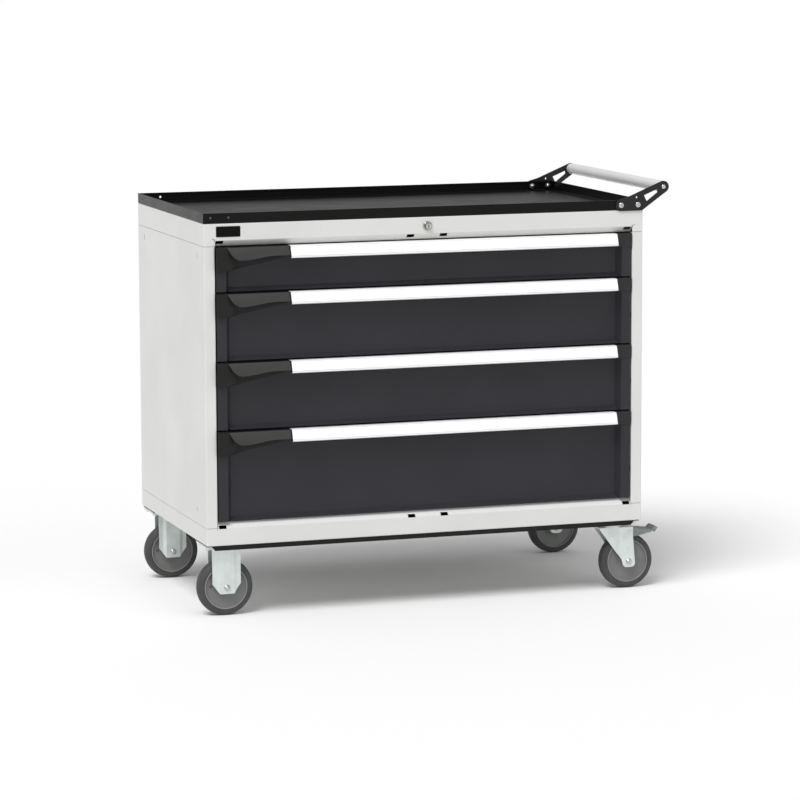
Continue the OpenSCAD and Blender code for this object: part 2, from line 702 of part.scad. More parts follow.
// Moulded end caps: the left one has a block, a sloped thumb plate and a swept web under it
module pull_caps(k) color(plastic_black) in_row_frame() {
    z = head_z(k);
    p = pull_line(z);
    x0 = front_x0 - 1;
    x1 = front_x0 + left_cap_w;
    block_x1 = x0 + 24;
    wall = 2.4;
    web_x0 = front_x0 + strip_w + recess_run;
    difference() {
        along_x(block_x1 - 1, x1) polygon(folded([
            [recess, z - 14], [recess, z - 1], [-pull_top_reach, z - 1], [-pull_reach, z - 5 - pull_h]
        ], wall, 3));
        along_y(-pull_reach - cut, -pull_top_reach) polygon([
            [block_x1 - 2, z], [block_x1, z - 1], [block_x1 + 20, z - 5 - pull_h], [x1 + cut, z - pull_h - 1],
            [x1 + cut, z - 12 - pull_h], [block_x1 - 2, z - 12 - pull_h]
        ]);
        along_y(0, recess + cut) polygon([
            [block_x1 - 2, z], [web_x0, z], [web_x0, z - 16], [block_x1 - 2, z - 16]
        ]);
    }
    box_between([x0, -pull_top_reach, z - 1 - cap_block_h], [block_x1, 0, z - 1]);
    along_y(recess - 6, recess) polygon(concat(
        [[x1, z - 3], [web_x0, z - 3]],
        [for (u = [0:0.125:1])
            [web_x0 + (x1 - web_x0) * u, z - 1 - cap_block_h + (cap_block_h - pull_h - 3) * sin(90 * u)]]
    ));
    for (x = catch_lugs(x1)) difference() {
        along_x(x, x + lug_t) polygon(concat(
            arc([catch_y, z - catch_drop], lug_r, 180, 360),
            [[catch_y + lug_r, z - 2], [catch_y - lug_r, z - 2]]));
        translate([x - cut, catch_y, z - catch_drop]) rotate([0, 90, 0])
            cylinder(r = catch_pin_r + run_play, h = lug_t + 2 * cut);
    }
    x2 = front_x1 - right_cap_w;
    along_x(x2, x2 + end_wall) polygon([
        [0, z - 1], [-pull_top_reach, z - 1], [-pull_reach, z - 5 - pull_h], [0, z - 5 - pull_h]
    ]);
    box_between([x2, -end_cap_t, z - 5 - pull_h], [front_x1 + 1, 0, z - 1]);
}

// The thumb catch turns on a pin between two lugs of the left cap
module catch_lever(k) color(plastic_black) in_row_frame() {
    z = head_z(k) - catch_drop;
    lugs = catch_lugs(front_x0 + left_cap_w);
    x0 = lugs[0] + lug_t + catch_gap;
    x1 = lugs[1] - catch_gap;
    pin_x0 = lugs[0] + 0.5;
    blade_h = 18;
    translate([pin_x0, catch_y, z]) rotate([0, 90, 0])
        cylinder(r = catch_pin_r, h = lugs[1] + lug_t - 0.5 - pin_x0);
    translate([x0, catch_y, z]) rotate([0, 90, 0]) cylinder(r = catch_pin_r + 1.6, h = x1 - x0);
    along_x(x0, x1) polygon([[catch_y - 1.5, z], [catch_y + 1.5, z], [catch_y + 0.5, z - blade_h],
                             [catch_y - 2.5, z - blade_h]]);
}

// Middle member of the two-stage slides
module slide_runners(k) color(zinc) in_row_frame() both_sides()
    translate([0, 0, foot_z(k) + slide_z]) along_y(runner_y0, runner_y1) polygon(folded([
        [runner_x1, runner_h / 2], [runner_x0, runner_h / 2],
        [runner_x0, -runner_h / 2], [runner_x1, -runner_h / 2]
    ], slide_sheet, bend_r));

// ---------- casters ----------

module top_plate_at(x, y) difference() {
    translate([x - top_plate[0] / 2, y - top_plate[1] / 2, plate_z0]) cube(top_plate);
    for (i = [-1, 1], j = [-1, 1])
        translate([x + i * plate_holes[0] / 2, y + j * plate_holes[1] / 2, plate_z0 - cut])
            cylinder(r = bolt_r + bolt_play, h = top_plate[2] + 2 * cut);
}

// One fork leg: a raised web between flanges, in plan, cut to its side view
module leg(x, y, side, plan, view) translate([x, y, 0]) mirror([0, side < 0 ? 0 : 1, 0]) intersection() {
    translate([0, 0, leg_z0 - cut]) linear_extrude(-leg_z0) polygon(folded(plan, fork_t, fork_t + 1));
    along_y(-fork_w, 0) polygon(view);
}

module fixed_forks() color(zinc) in_row_frame() {
    half = 32;
    web = 16;
    outer = -fork_w / 2;
    shoulder_z = leg_z0 + 22;
    plan = [[-half, outer + leg_step], [-web - 7, outer + leg_step], [-web, outer], [web, outer],
            [web + 7, outer + leg_step], [half, outer + leg_step]];
    view = [[-half, plate_z0], [-half, shoulder_z], [-web, leg_z0], [web, leg_z0], [half, shoulder_z],
            [half, plate_z0]];
    for (y = caster_y) {
        top_plate_at(caster_x[0], y);
        for (side = [-1, 1]) difference() {
            leg(caster_x[0], y, side, plan, view);
            bar_y(caster_x[0], axle_z, bolt_r + run_play, y - fork_w, y + fork_w);
        }
    }
}

// Axle: a bolt through both legs, with the sleeve that the wheel turns on
module axle(x, y) {
    inner = fork_w / 2 - fork_t;
    bar_y(x, axle_z, axle_r, y - inner, y + inner);
    bar_y(x, axle_z, bolt_r, y - fork_w / 2 - 1, y + fork_w / 2 + 7);
    hex_y(x, axle_z, bolt_head_r, y - fork_w / 2 - bolt_head_h, y - fork_w / 2);
    hex_y(x, axle_z, bolt_head_r, y + fork_w / 2, y + fork_w / 2 + 6);
}

module fixed_axles() color(zinc) in_row_frame() for (y = caster_y) axle(caster_x[0], y);

module swivel_axle(y) color(zinc) in_row_frame() axle(swivel_wheel_x, y);

// Top plates with the upper race and the kingpin of each swivel caster
module swivel_plates() color(zinc) in_row_frame() for (y = caster_y) {
    top_plate_at(caster_x[1], y);
    translate([caster_x[1], y, race_z]) cylinder(r = race_r + 1, h = plate_z0 - race_z);
    translate([caster_x[1], y, crown_z0 - 0.3]) cylinder(r = kingpin_r, h = race_z - crown_z0 + 0.3 + cut);
    translate([caster_x[1], y, crown_z0 - 3]) cylinder(r = kingpin_r + 5, h = 2.7);
}

module swivel_fork(y) color(zinc) in_row_frame() {
    outer = -fork_w / 2;
    back = -trail - 33;
    front = 10;
    plan = [[back, outer + leg_step], [-30, outer + leg_step], [-22, outer], [front + 5, outer]];
    view = concat(
        [[back, crown_z1], [back, crown_z0], [-18, axle_z + 6]],
        arc([-6, leg_z0 + 9], 9, 180, 270, 4), arc([6, leg_z0 + 9], 9, 270, 360, 4),
        [[front, axle_z + wheel_r - 6.5], [front, crown_z1]]
    );
    difference() {
        union() {
            for (side = [-1, 1]) leg(swivel_wheel_x, y, side, plan, view);
            intersection() {
                box_between([swivel_wheel_x + back, y - fork_w / 2 + leg_step, crown_z0],
                            [swivel_wheel_x + front - 4, y + fork_w / 2 - leg_step, crown_z1]);
                translate([caster_x[1], y, crown_z0]) cylinder(r = trail + 20, h = crown_t);
            }
            translate([caster_x[1], y, crown_z1]) cylinder(r = race_r, h = race_z - crown_z1 - 0.3);
        }
        translate([caster_x[1], y, crown_z0 - cut])
            cylinder(r = kingpin_r + run_play, h = race_z - crown_z0 + 2 * cut);
        bar_y(swivel_wheel_x, axle_z, bolt_r + run_play, y - fork_w, y + fork_w);
    }
    bar_y(pedal_pin[0], pedal_pin[1], pedal_pin_r, y - fork_w / 2 - 1, y + fork_w / 2 + 1);
}

// Brake pedal: a channel that straddles the wheel, with a pointed toe plate
module brake_pedal(y) color(zinc) in_row_frame() {
    x = swivel_wheel_x;
    inner = tyre_w / 2 + 1.6;
    t = 2;
    tip = x + pedal_reach;
    side_z = axle_z + wheel_r - 6.5;
    side_view = [
        [pedal_pin[0] - 5, pedal_pin[1] - 4], [x + 9, side_z], [x + 19, side_z],
        [tip - 24, crown_z0 - 12], [tip - 20, crown_z0 - 6.5], [x + 11, crown_z0 - 0.5],
        [pedal_pin[0] + 4, crown_z0 - 1.5], [pedal_pin[0] - 5, crown_z0 - 2.5]
    ];
    difference() {
        for (side = [-1, 1]) translate([0, y, 0]) mirror([0, side < 0 ? 0 : 1, 0])
            along_y(-inner - t, -inner) polygon(side_view);
        bar_y(pedal_pin[0], pedal_pin[1], pedal_pin_r + run_play, y - fork_w, y + fork_w);
    }
    along_y(y - inner - t, y + inner + t) polygon([
        [x + 11, crown_z0 - 0.5], [x + 11, crown_z0 - 2.5], [tip - 20, crown_z0 - 8.5],
        [tip - 20, crown_z0 - 6.5]
    ]);
    intersection() {
        along_y(y - inner - t, y + inner + t) polygon([
            [tip - 22, crown_z0 - 6.6], [tip - 15, crown_z0 - 12], [tip, crown_z0 - 4.5],
            [tip - 13, crown_z0 + 1.5], [tip - 19, crown_z0 - 3]
        ]);
        translate([0, y, crown_z0 - 20]) linear_extrude(40) polygon(concat(
            [[tip - 30, -inner - t], [tip - 14, -inner - t]], arc([tip - 10, 0], 10, -45, 45),
            [[tip - 14, inner + t], [tip - 30, inner + t]]));
    }
}

// Section of the wheel's hub in (radius, offset from the middle plane)
module hub(x, y) color(hub_grey) in_row_frame() {
    boss = fork_w / 2 - fork_t - 1;
    ring = tyre_w / 2 - 1;
    disc = ring - 6;
    difference() {
        translate([x, y, axle_z]) rotate([90, 0, 0]) rotate_extrude() polygon([
            [axle_r + run_play, -boss], [13, -boss], [15, -disc], [rim_r - 4.5, -disc],
            [rim_r - 3, -ring], [rim_r, -ring], [rim_r, ring], [rim_r - 3, ring], [rim_r - 4.5, disc],
            [15, disc], [13, boss], [axle_r + run_play, boss]
        ]);
        bar_y(x - 0.68 * rim_r, axle_z + 3, 2.3, y - tyre_w, y - disc + 4);
    }
}

// Rubber tyre with a crowned tread
module tyre(x, y) color(tyre_grey) in_row_frame() {
    half = tyre_w / 2;
    shoulder = wheel_r - 5;
    translate([x, y, axle_z]) rotate([90, 0, 0]) rotate_extrude() polygon(concat(
        [[rim_r, -half + 1], [rim_r + 2, -half], [shoulder - 3, -half]],
        [for (u = [-1:0.25:1]) [shoulder + 5 * sqrt(1 - 0.92 * u * u) , (half - 1) * u]],
        [[shoulder - 3, half], [rim_r + 2, half], [rim_r, half - 1]]
    ));
}

// ---------- what is drawn ----------

left_side_panel();
right_side_panel();
back_panel();
base_pan();
top_cap();
worktop_sheet();
tray_rim();
slide_uprights();
cabinet_rails();
underframe();
name_plate();
lock_housing();
lock_plug();
lock_bar();
lock_rod();
front_handle_bracket();
rear_handle_bracket();
grip_tube();
frame_bolts();
fixed_forks();
fixed_axles();
swivel_plates();
for (k = [0:drawer_count - 1]) {
    drawer_pan(k);
    drawer_front(k);
    pull_profile(k);
    pull_caps(k);
    catch_lever(k);
    slide_runners(k);
}
for (e = [0, 1]) {
    end = ["front", "rear"][e];
    swivel_fork(caster_y[e]);
    swivel_axle(caster_y[e]);
    brake_pedal(caster_y[e]);
    hub(caster_x[0], caster_y[e]);
    tyre(caster_x[0], caster_y[e]);
    hub(swivel_wheel_x, caster_y[e]);
    tyre(swivel_wheel_x, caster_y[e]);
}
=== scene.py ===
"""Looks for a mobile workshop cabinet.

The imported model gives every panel, drawer, slide, lock piece and caster. This script dresses them in the
finishes of the real pieces, and builds the finer pieces that stand for moulded caps, label strips, wheels
and fasteners. Lengths are metres, +Z is up, and every piece lies where the frame says.
"""

import itertools
import json
import logging
import math
from dataclasses import dataclass
from enum import Enum

import bmesh
import bpy
import numpy as np
from mathutils import Matrix, Vector

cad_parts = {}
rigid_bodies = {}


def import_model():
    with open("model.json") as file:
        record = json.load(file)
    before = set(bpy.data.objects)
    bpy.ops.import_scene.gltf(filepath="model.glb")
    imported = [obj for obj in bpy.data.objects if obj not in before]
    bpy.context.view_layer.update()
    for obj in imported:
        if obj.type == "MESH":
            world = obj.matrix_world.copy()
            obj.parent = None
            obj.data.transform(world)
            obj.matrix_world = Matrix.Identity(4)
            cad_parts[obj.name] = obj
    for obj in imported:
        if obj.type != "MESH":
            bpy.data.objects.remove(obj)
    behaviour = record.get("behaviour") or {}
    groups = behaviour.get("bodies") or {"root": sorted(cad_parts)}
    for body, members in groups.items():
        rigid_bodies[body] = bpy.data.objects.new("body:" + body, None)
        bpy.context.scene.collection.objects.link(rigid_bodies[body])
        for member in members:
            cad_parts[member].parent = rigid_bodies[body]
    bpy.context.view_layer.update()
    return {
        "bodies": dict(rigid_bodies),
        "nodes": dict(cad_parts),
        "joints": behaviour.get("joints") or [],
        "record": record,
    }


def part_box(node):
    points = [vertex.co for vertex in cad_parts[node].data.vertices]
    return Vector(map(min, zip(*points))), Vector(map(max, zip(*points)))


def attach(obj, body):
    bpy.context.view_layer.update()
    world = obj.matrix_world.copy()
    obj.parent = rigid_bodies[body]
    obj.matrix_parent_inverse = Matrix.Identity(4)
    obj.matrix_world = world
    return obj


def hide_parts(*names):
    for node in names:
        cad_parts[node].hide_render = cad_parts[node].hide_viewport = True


LOG = logging.getLogger("cabinet")
MM = 0.001
SHARP = math.radians(38)
DRAWERS = range(1, 5)
# The colour sockets of a Mix node, which share their names with its other sockets
MIX_FIRST, MIX_SECOND, MIX_RESULT = 6, 7, 2


class End(Enum):
    """Which end of the cabinet a caster stands at, front or rear."""

    FRONT = "front"
    REAR = "rear"


class CasterKind(Enum):
    """A caster is fixed or it swivels."""

    FIXED = "fixed"
    SWIVEL = "swivel"


# ---------- nodes and colours ----------


def linear(hex_colour: str) -> tuple[float, float, float, float]:
    """Turns an sRGB hex colour into linear light.

    Args:
        hex_colour: six hex digits, with or without a leading hash.

    Returns:
        Red, green, blue and an alpha of one.
    """
    digits = hex_colour.lstrip("#")
    srgb = np.array([int(digits[i:i + 2], 16) / 255 for i in (0, 2, 4)])
    light = np.where(srgb <= 0.04045, srgb / 12.92, ((srgb + 0.055) / 1.055) ** 2.4)
    return (*map(float, light), 1.0)


def add(tree: bpy.types.NodeTree, kind: str, inputs: dict | None = None,
        **settings: object) -> bpy.types.Node:
    """Adds one node with its settings, socket values and links.

    Args:
        tree: the node tree it goes into.
        kind: the node's type name.
        inputs: for each socket, by name or number, a value or another node's output to link.
        settings: the node's own attributes.

    Returns:
        The new node.
    """
    node = tree.nodes.new(kind)
    for name, value in settings.items():
        setattr(node, name, value)
    for name, value in (inputs or {}).items():
        socket = node.inputs[name]
        if isinstance(value, bpy.types.NodeSocket):
            tree.links.new(value, socket)
        else:
            socket.default_value = value
    return node


def per_metre(size_mm: float) -> float:
    """Gives the texture scale whose features are size_mm across."""
    return 1 / (size_mm * MM)


# ---------- finishes ----------


@dataclass(frozen=True)
class Finish:
    """What every finish shares: two close colours, a grain and a spread of roughness.

    The colour drifts from colour to shade over patches drift_mm across, as paint film and plating do, and
    the roughness drifts between its two values. The grain is a fine bump grain_mm across and grain_um deep.
    Sharp edges are shaded as if rounded to edge_mm.
    """

    name: str
    colour: str
    shade: str
    roughness: tuple[float, float]
    grain_mm: float
    grain_um: float
    drift_mm: float = 90.0
    metallic: float = 0.0
    specular: float = 0.5
    ior: float = 1.5
    coat: float = 0.0
    edge_mm: float = 0.0

    def make(self) -> bpy.types.Material:
        """Builds the material.

        Returns:
            A material with its colour, roughness and relief worked out from object coordinates.
        """
        material = bpy.data.materials.new(self.name)
        material.use_nodes = True
        tree = material.node_tree
        tree.nodes.clear()
        place = add(tree, "ShaderNodeTexCoord").outputs["Object"]
        shader = add(tree, "ShaderNodeBsdfPrincipled", {
            "Metallic": self.metallic, "IOR": self.ior, "Specular IOR Level": self.specular,
            "Coat Weight": self.coat, "Coat Roughness": 0.12})
        tree.links.new(self.tint(tree, place), shader.inputs["Base Color"])
        tree.links.new(self.gloss(tree, place), shader.inputs["Roughness"])
        tree.links.new(self.relief(tree, place), shader.inputs["Normal"])
        add(tree, "ShaderNodeOutputMaterial", {"Surface": shader.outputs["BSDF"]})
        return material

    def tint(self, tree: bpy.types.NodeTree, place: bpy.types.NodeSocket) -> bpy.types.NodeSocket:
        """Mixes colour and shade by a soft noise.

        Args:
            tree: the material's nodes.
            place: object coordinates.

        Returns:
            The colour socket.
        """
        drift = add(tree, "ShaderNodeTexNoise", {"Vector": place, "Scale": per_metre(self.drift_mm),
                                                 "Detail": 4.0, "Roughness": 0.55})
        ramp = add(tree, "ShaderNodeMapRange", {"Value": drift.outputs["Fac"], "From Min": 0.35,
                                                "From Max": 0.65})
        mixed = add(tree, "ShaderNodeMix", {"Factor": ramp.outputs["Result"], MIX_FIRST: linear(self.colour),
                                            MIX_SECOND: linear(self.shade)}, data_type="RGBA")
        return mixed.outputs[MIX_RESULT]

    def gloss(self, tree: bpy.types.NodeTree, place: bpy.types.NodeSocket) -> bpy.types.NodeSocket:
        """Spreads the roughness between its two values by a noise of half the drift's size.

        Args:
            tree: the material's nodes.
            place: object coordinates.

        Returns:
            The roughness socket.
        """
        cloud = add(tree, "ShaderNodeTexNoise", {"Vector": place, "Scale": per_metre(self.drift_mm / 2),
                                                 "Detail": 5.0})
        spread = add(tree, "ShaderNodeMapRange", {
            "Value": cloud.outputs["Fac"], "From Min": 0.3, "From Max": 0.7,
            "To Min": self.roughness[0], "To Max": self.roughness[1]})
        return spread.outputs["Result"]

    def height(self, tree: bpy.types.NodeTree, place: bpy.types.NodeSocket) -> bpy.types.NodeSocket:
        """Gives the grain's height.

        Args:
            tree: the material's nodes.
            place: object coordinates.

        Returns:
            A socket from 0 in the hollows to 1 on the tops.
        """
        grain = add(tree, "ShaderNodeTexNoise", {"Vector": place, "Scale": per_metre(self.grain_mm),
                                                 "Detail": 2.0, "Roughness": 0.6})
        return grain.outputs["Fac"]

    def relief(self, tree: bpy.types.NodeTree, place: bpy.types.NodeSocket) -> bpy.types.NodeSocket:
        """Turns the grain into a bump, over edges eased to edge_mm where that is set.

        Args:
            tree: the material's nodes.
            place: object coordinates.

        Returns:
            The normal socket.
        """
        bump = add(tree, "ShaderNodeBump", {"Height": self.height(tree, place), "Strength": 1.0,
                                            "Distance": self.grain_um * 1e-6})
        if self.edge_mm:
            eased = add(tree, "ShaderNodeBevel", {"Radius": self.edge_mm * MM}, samples=4)
            tree.links.new(eased.outputs["Normal"], bump.inputs["Normal"])
        return bump.outputs["Normal"]


@dataclass(frozen=True)
class PowderCoat(Finish):
    """Baked powder coat: a slightly pebbled film, called orange peel, that softens every reflection.

    Each finish gives the size of its own pebbles, about 2 mm.
    """


@dataclass(frozen=True)
class MouldedPlastic(Finish):
    """Injection-moulded plastic with a spark-eroded texture, which turns highlights into a soft sheen."""

    def height(self, tree: bpy.types.NodeTree, place: bpy.types.NodeSocket) -> bpy.types.NodeSocket:
        """Gives the eroded texture: rounded cells with a fine noise over them.

        Args:
            tree: the material's nodes.
            place: object coordinates.

        Returns:
            A height socket.
        """
        cells = add(tree, "ShaderNodeTexVoronoi", {"Vector": place, "Scale": per_metre(self.grain_mm)},
                    feature="SMOOTH_F1")
        noise = add(tree, "ShaderNodeTexNoise", {"Vector": place, "Scale": per_metre(self.grain_mm / 3)})
        both = add(tree, "ShaderNodeMath", {0: cells.outputs["Distance"], 1: noise.outputs["Fac"]},
                   operation="ADD")
        return both.outputs["Value"]


@dataclass(frozen=True)
class ZincPlate(Finish):
    """Blue-passivated zinc on pressed steel: cloudy, cool in tint, with fine drawing lines down the sheet."""

    stretch: tuple[float, float, float] = (1.0, 1.0, 0.08)

    def height(self, tree: bpy.types.NodeTree, place: bpy.types.NodeSocket) -> bpy.types.NodeSocket:
        """Gives the drawing lines: a noise drawn out along the sheet.

        Args:
            tree: the material's nodes.
            place: object coordinates.

        Returns:
            A height socket.
        """
        drawn = add(tree, "ShaderNodeMapping", {"Vector": place, "Scale": self.stretch})
        lines = add(tree, "ShaderNodeTexNoise", {"Vector": drawn.outputs["Vector"],
                                                 "Scale": per_metre(self.grain_mm), "Detail": 3.0})
        return lines.outputs["Fac"]


@dataclass(frozen=True)
class WheelRubber(Finish):
    """Grey non-marking rubber: matt, with a dusty bloom that lightens it in patches."""


# Panels of the body: a pale, even grey with soft reflections and a barely seen pebble
BODY_ENAMEL = PowderCoat("light_grey_powder_coat", "#D9D9D7", "#D4D4D2", (0.42, 0.52), 2.2, 14, 240,
                         specular=0.35)
# Drawers: a blue-black grey that goes lighter where it faces the light
DRAWER_ENAMEL = PowderCoat("anthracite_powder_coat", "#2A2A2F", "#27272C", (0.40, 0.50), 2.2, 14, 200,
                           specular=0.3)
# Tray: near black, smooth enough for its floor to show a grey sheen
TRAY_ENAMEL = PowderCoat("black_powder_coat", "#0B0B0B", "#090909", (0.30, 0.38), 2.2, 14, 160,
                         specular=0.16)
# Push handle's brackets: coarse black texture with light caught on the cut edges
BRACKET_ENAMEL = PowderCoat("black_textured_coat", "#1A1A1A", "#161616", (0.42, 0.55), 1.6, 40, 60,
                            specular=0.35, edge_mm=0.5)
# Channels over the casters: a flat dark band under the pale body
UNDERFRAME_ENAMEL = PowderCoat("black_satin_coat", "#101010", "#0D0D0D", (0.42, 0.55), 2.0, 20, 120,
                               specular=0.3)
# Block and scoop of the grip caps: the darkest, softest plastic
CAP_PLASTIC = MouldedPlastic("black_moulded_nylon", "#151514", "#131312", (0.46, 0.56), 1.2, 25, 50,
                             specular=0.28, edge_mm=0.6)
# Thumb plate: the block's black moulding painted a shade lighter, as painted light on its lit sloped face, so
# that its outline reads
CAP_FACE_PAINTED_LIGHT = MouldedPlastic("black_nylon_thumb_face_painted_light", "#353534", "#323231", (0.42, 0.50), 1.2, 20, 50,
                          specular=0.4)
# Right cap: close to the drawer's own grey, as if flush with it
CAP_SIDE = MouldedPlastic("anthracite_nylon", "#1F1F20", "#1C1C1D", (0.46, 0.56), 1.2, 20, 50,
                          specular=0.4)
# Blank plate: flat black with a thin raised border
PLATE_PLASTIC = MouldedPlastic("black_moulded_abs", "#060606", "#050505", (0.40, 0.50), 1.0, 8, 30,
                               specular=0.12)
# Pull profile: clean white, a little glossier than the body
PULL_LACQUER = PowderCoat("white_satin_lacquer", "#F4F4F4", "#F1F1F1", (0.35, 0.42), 2.0, 8, 150)
# Ribs that hold the label: the profile's lacquer painted a little grey, painted shade that makes a faint line
# along its edges
PULL_RIB_PAINTED_SHADE = PowderCoat("white_profile_rib_painted_shade", "#E2E2E2", "#DADADA", (0.35, 0.42), 2.0, 8, 150)
# Label strip: the whitest face of the whole cabinet
LABEL_CARD = PowderCoat("white_label_card", "#FAFAFA", "#F7F7F7", (0.30, 0.36), 1.2, 4, 120)
# Grip tube: pale grey with a soft light along its top
GRIP_ENAMEL = PowderCoat("pale_grey_satin_enamel", "#DDDDDD", "#D8D8D8", (0.30, 0.38), 2.0, 10, 80)
# Forks and plates of the casters: cloudy, slightly green white metal
CASTER_ZINC = ZincPlate("blue_passivated_zinc", "#DFE6E3", "#D3DBD8", (0.30, 0.44), 1.4, 16, 30,
                        metallic=0.6, edge_mm=0.6)
# Brake pedals: the same plating painted down to a dull mid grey, as painted shade
PEDAL_PAINTED_SHADE = ZincPlate("zinc_lever_painted_shade", "#8A908E", "#7C8280", (0.36, 0.50), 1.4, 16, 18,
                        metallic=0.8, edge_mm=0.5)
# Screws, nuts and axles: small bright points
AXLE_ZINC = ZincPlate("bright_zinc_fastener", "#D0D4D4", "#B8BEBE", (0.22, 0.36), 0.8, 10, 9,
                      metallic=1.0, edge_mm=0.4)
# Rails and runners: rolled steel with lines along the slide
SLIDE_STEEL = ZincPlate("roll_formed_zinc_steel", "#C4C6C6", "#B0B3B4", (0.28, 0.42), 1.6, 14, 35,
                        metallic=1.0, stretch=(1.0, 0.06, 1.0))
# Lock's ring and plug: warm, finely brushed and brighter than the zinc
LOCK_NICKEL = ZincPlate("satin_nickel", "#C6C6C2", "#B4B4B0", (0.18, 0.30), 0.5, 6, 8, metallic=1.0,
                        stretch=(1.0, 1.0, 1.0), edge_mm=0.4)
# Lock's bar and rod: plain grey bar stock
LOCK_STEEL = ZincPlate("zinc_flat_bar", "#B8BABB", "#A4A7A8", (0.30, 0.42), 1.2, 12, 20, metallic=1.0)
# Wheel disc: mid grey with a fine moulded grain
HUB_PLASTIC = MouldedPlastic("grey_polypropylene", "#757575", "#6F6F6E", (0.42, 0.52), 1.4, 20, 30,
                             edge_mm=0.5)
# Rim of the disc: the hub's grey painted lighter, a painted highlight that makes a thin light ring
RIM_PAINTED_HIGHLIGHT = MouldedPlastic("rim_polypropylene_painted_highlight", "#989897", "#8C8C8B", (0.40, 0.50), 1.4, 15,
                             25)
# Grease hole and bearing covers: a dark dot of painted shade that stands for the hole, and the covers' own
# dark ring on the disc
HOLE_SHADE_AND_COVER_PLASTIC = MouldedPlastic("hole_shade_and_cover_polypropylene", "#2C2C2C", "#272727", (0.45, 0.55), 1.2, 15,
                              20)
# Tyres: dusty dark grey that hardly reflects
TYRE_RUBBER = WheelRubber("grey_wheel_rubber", "#484849", "#424243", (0.55, 0.70), 1.2, 30, 26,
                          specular=0.35)

FINISH_OF_SLOT: dict[str, Finish] = {
    "body_enamel": BODY_ENAMEL,
    "tray_enamel": TRAY_ENAMEL,
    "underframe_enamel": UNDERFRAME_ENAMEL,
    "bracket_enamel": BRACKET_ENAMEL,
    "plate_plastic": PLATE_PLASTIC,
    "slide_steel": SLIDE_STEEL,
    "drawer_enamel": DRAWER_ENAMEL,
    "pull_profile": PULL_LACQUER,
    "cap_plastic": CAP_PLASTIC,
    "grip_enamel": GRIP_ENAMEL,
    "lock_nickel": LOCK_NICKEL,
    "lock_steel": LOCK_STEEL,
    "bolt_zinc": AXLE_ZINC,
    "caster_zinc": CASTER_ZINC,
    "axle_zinc": AXLE_ZINC,
    "hub_plastic": HUB_PLASTIC,
    "tyre_rubber": TYRE_RUBBER,
}


# ---------- shapes ----------


def eased(points: list[tuple[float, float]], radii: float | list[float], steps: int = 4) -> np.ndarray:
    """Rounds the inner corners of an open line of points.

    Each corner B becomes the curve (1 - t)^2 A + 2 t (1 - t) B + t^2 C for t from 0 to 1, where A and C lie
    on its two sides, a radius away from it.

    Args:
        points: corners in two dimensions, in mm.
        radii: one radius, or one for each corner.
        steps: how many pieces each corner gets.

    Returns:
        The rounded line.
    """
    corners = np.asarray(points, float)
    radius = np.broadcast_to(np.asarray(radii, float), len(corners))[:, None]
    sides = [np.roll(corners, shift, 0) - corners for shift in (1, -1)]
    a, c = (corners + side / np.maximum(np.linalg.norm(side, axis=1, keepdims=True), 1e-9) * radius
            for side in sides)
    t = np.linspace(0, 1, steps + 1)[:, None, None]
    bent = ((1 - t) ** 2 * a + 2 * t * (1 - t) * corners + t ** 2 * c).transpose(1, 0, 2)
    return np.concatenate([corners[:1], bent[1:-1].reshape(-1, 2), corners[-1:]])


def ring_eased(points: list[tuple[float, float]], radii: float | list[float], steps: int = 4) -> np.ndarray:
    """Rounds every corner of a closed outline, by the curve that eased describes.

    Args:
        points: corners in order, in mm.
        radii: one radius, or one for each corner.
        steps: how many pieces each corner gets.

    Returns:
        The rounded outline, without a repeated end.
    """
    wrapped = [points[-1], *points, points[0]]
    radius = np.broadcast_to(np.asarray(radii, float), len(points))
    return eased(wrapped, [0.0, *radius, 0.0], steps)[1:-1]


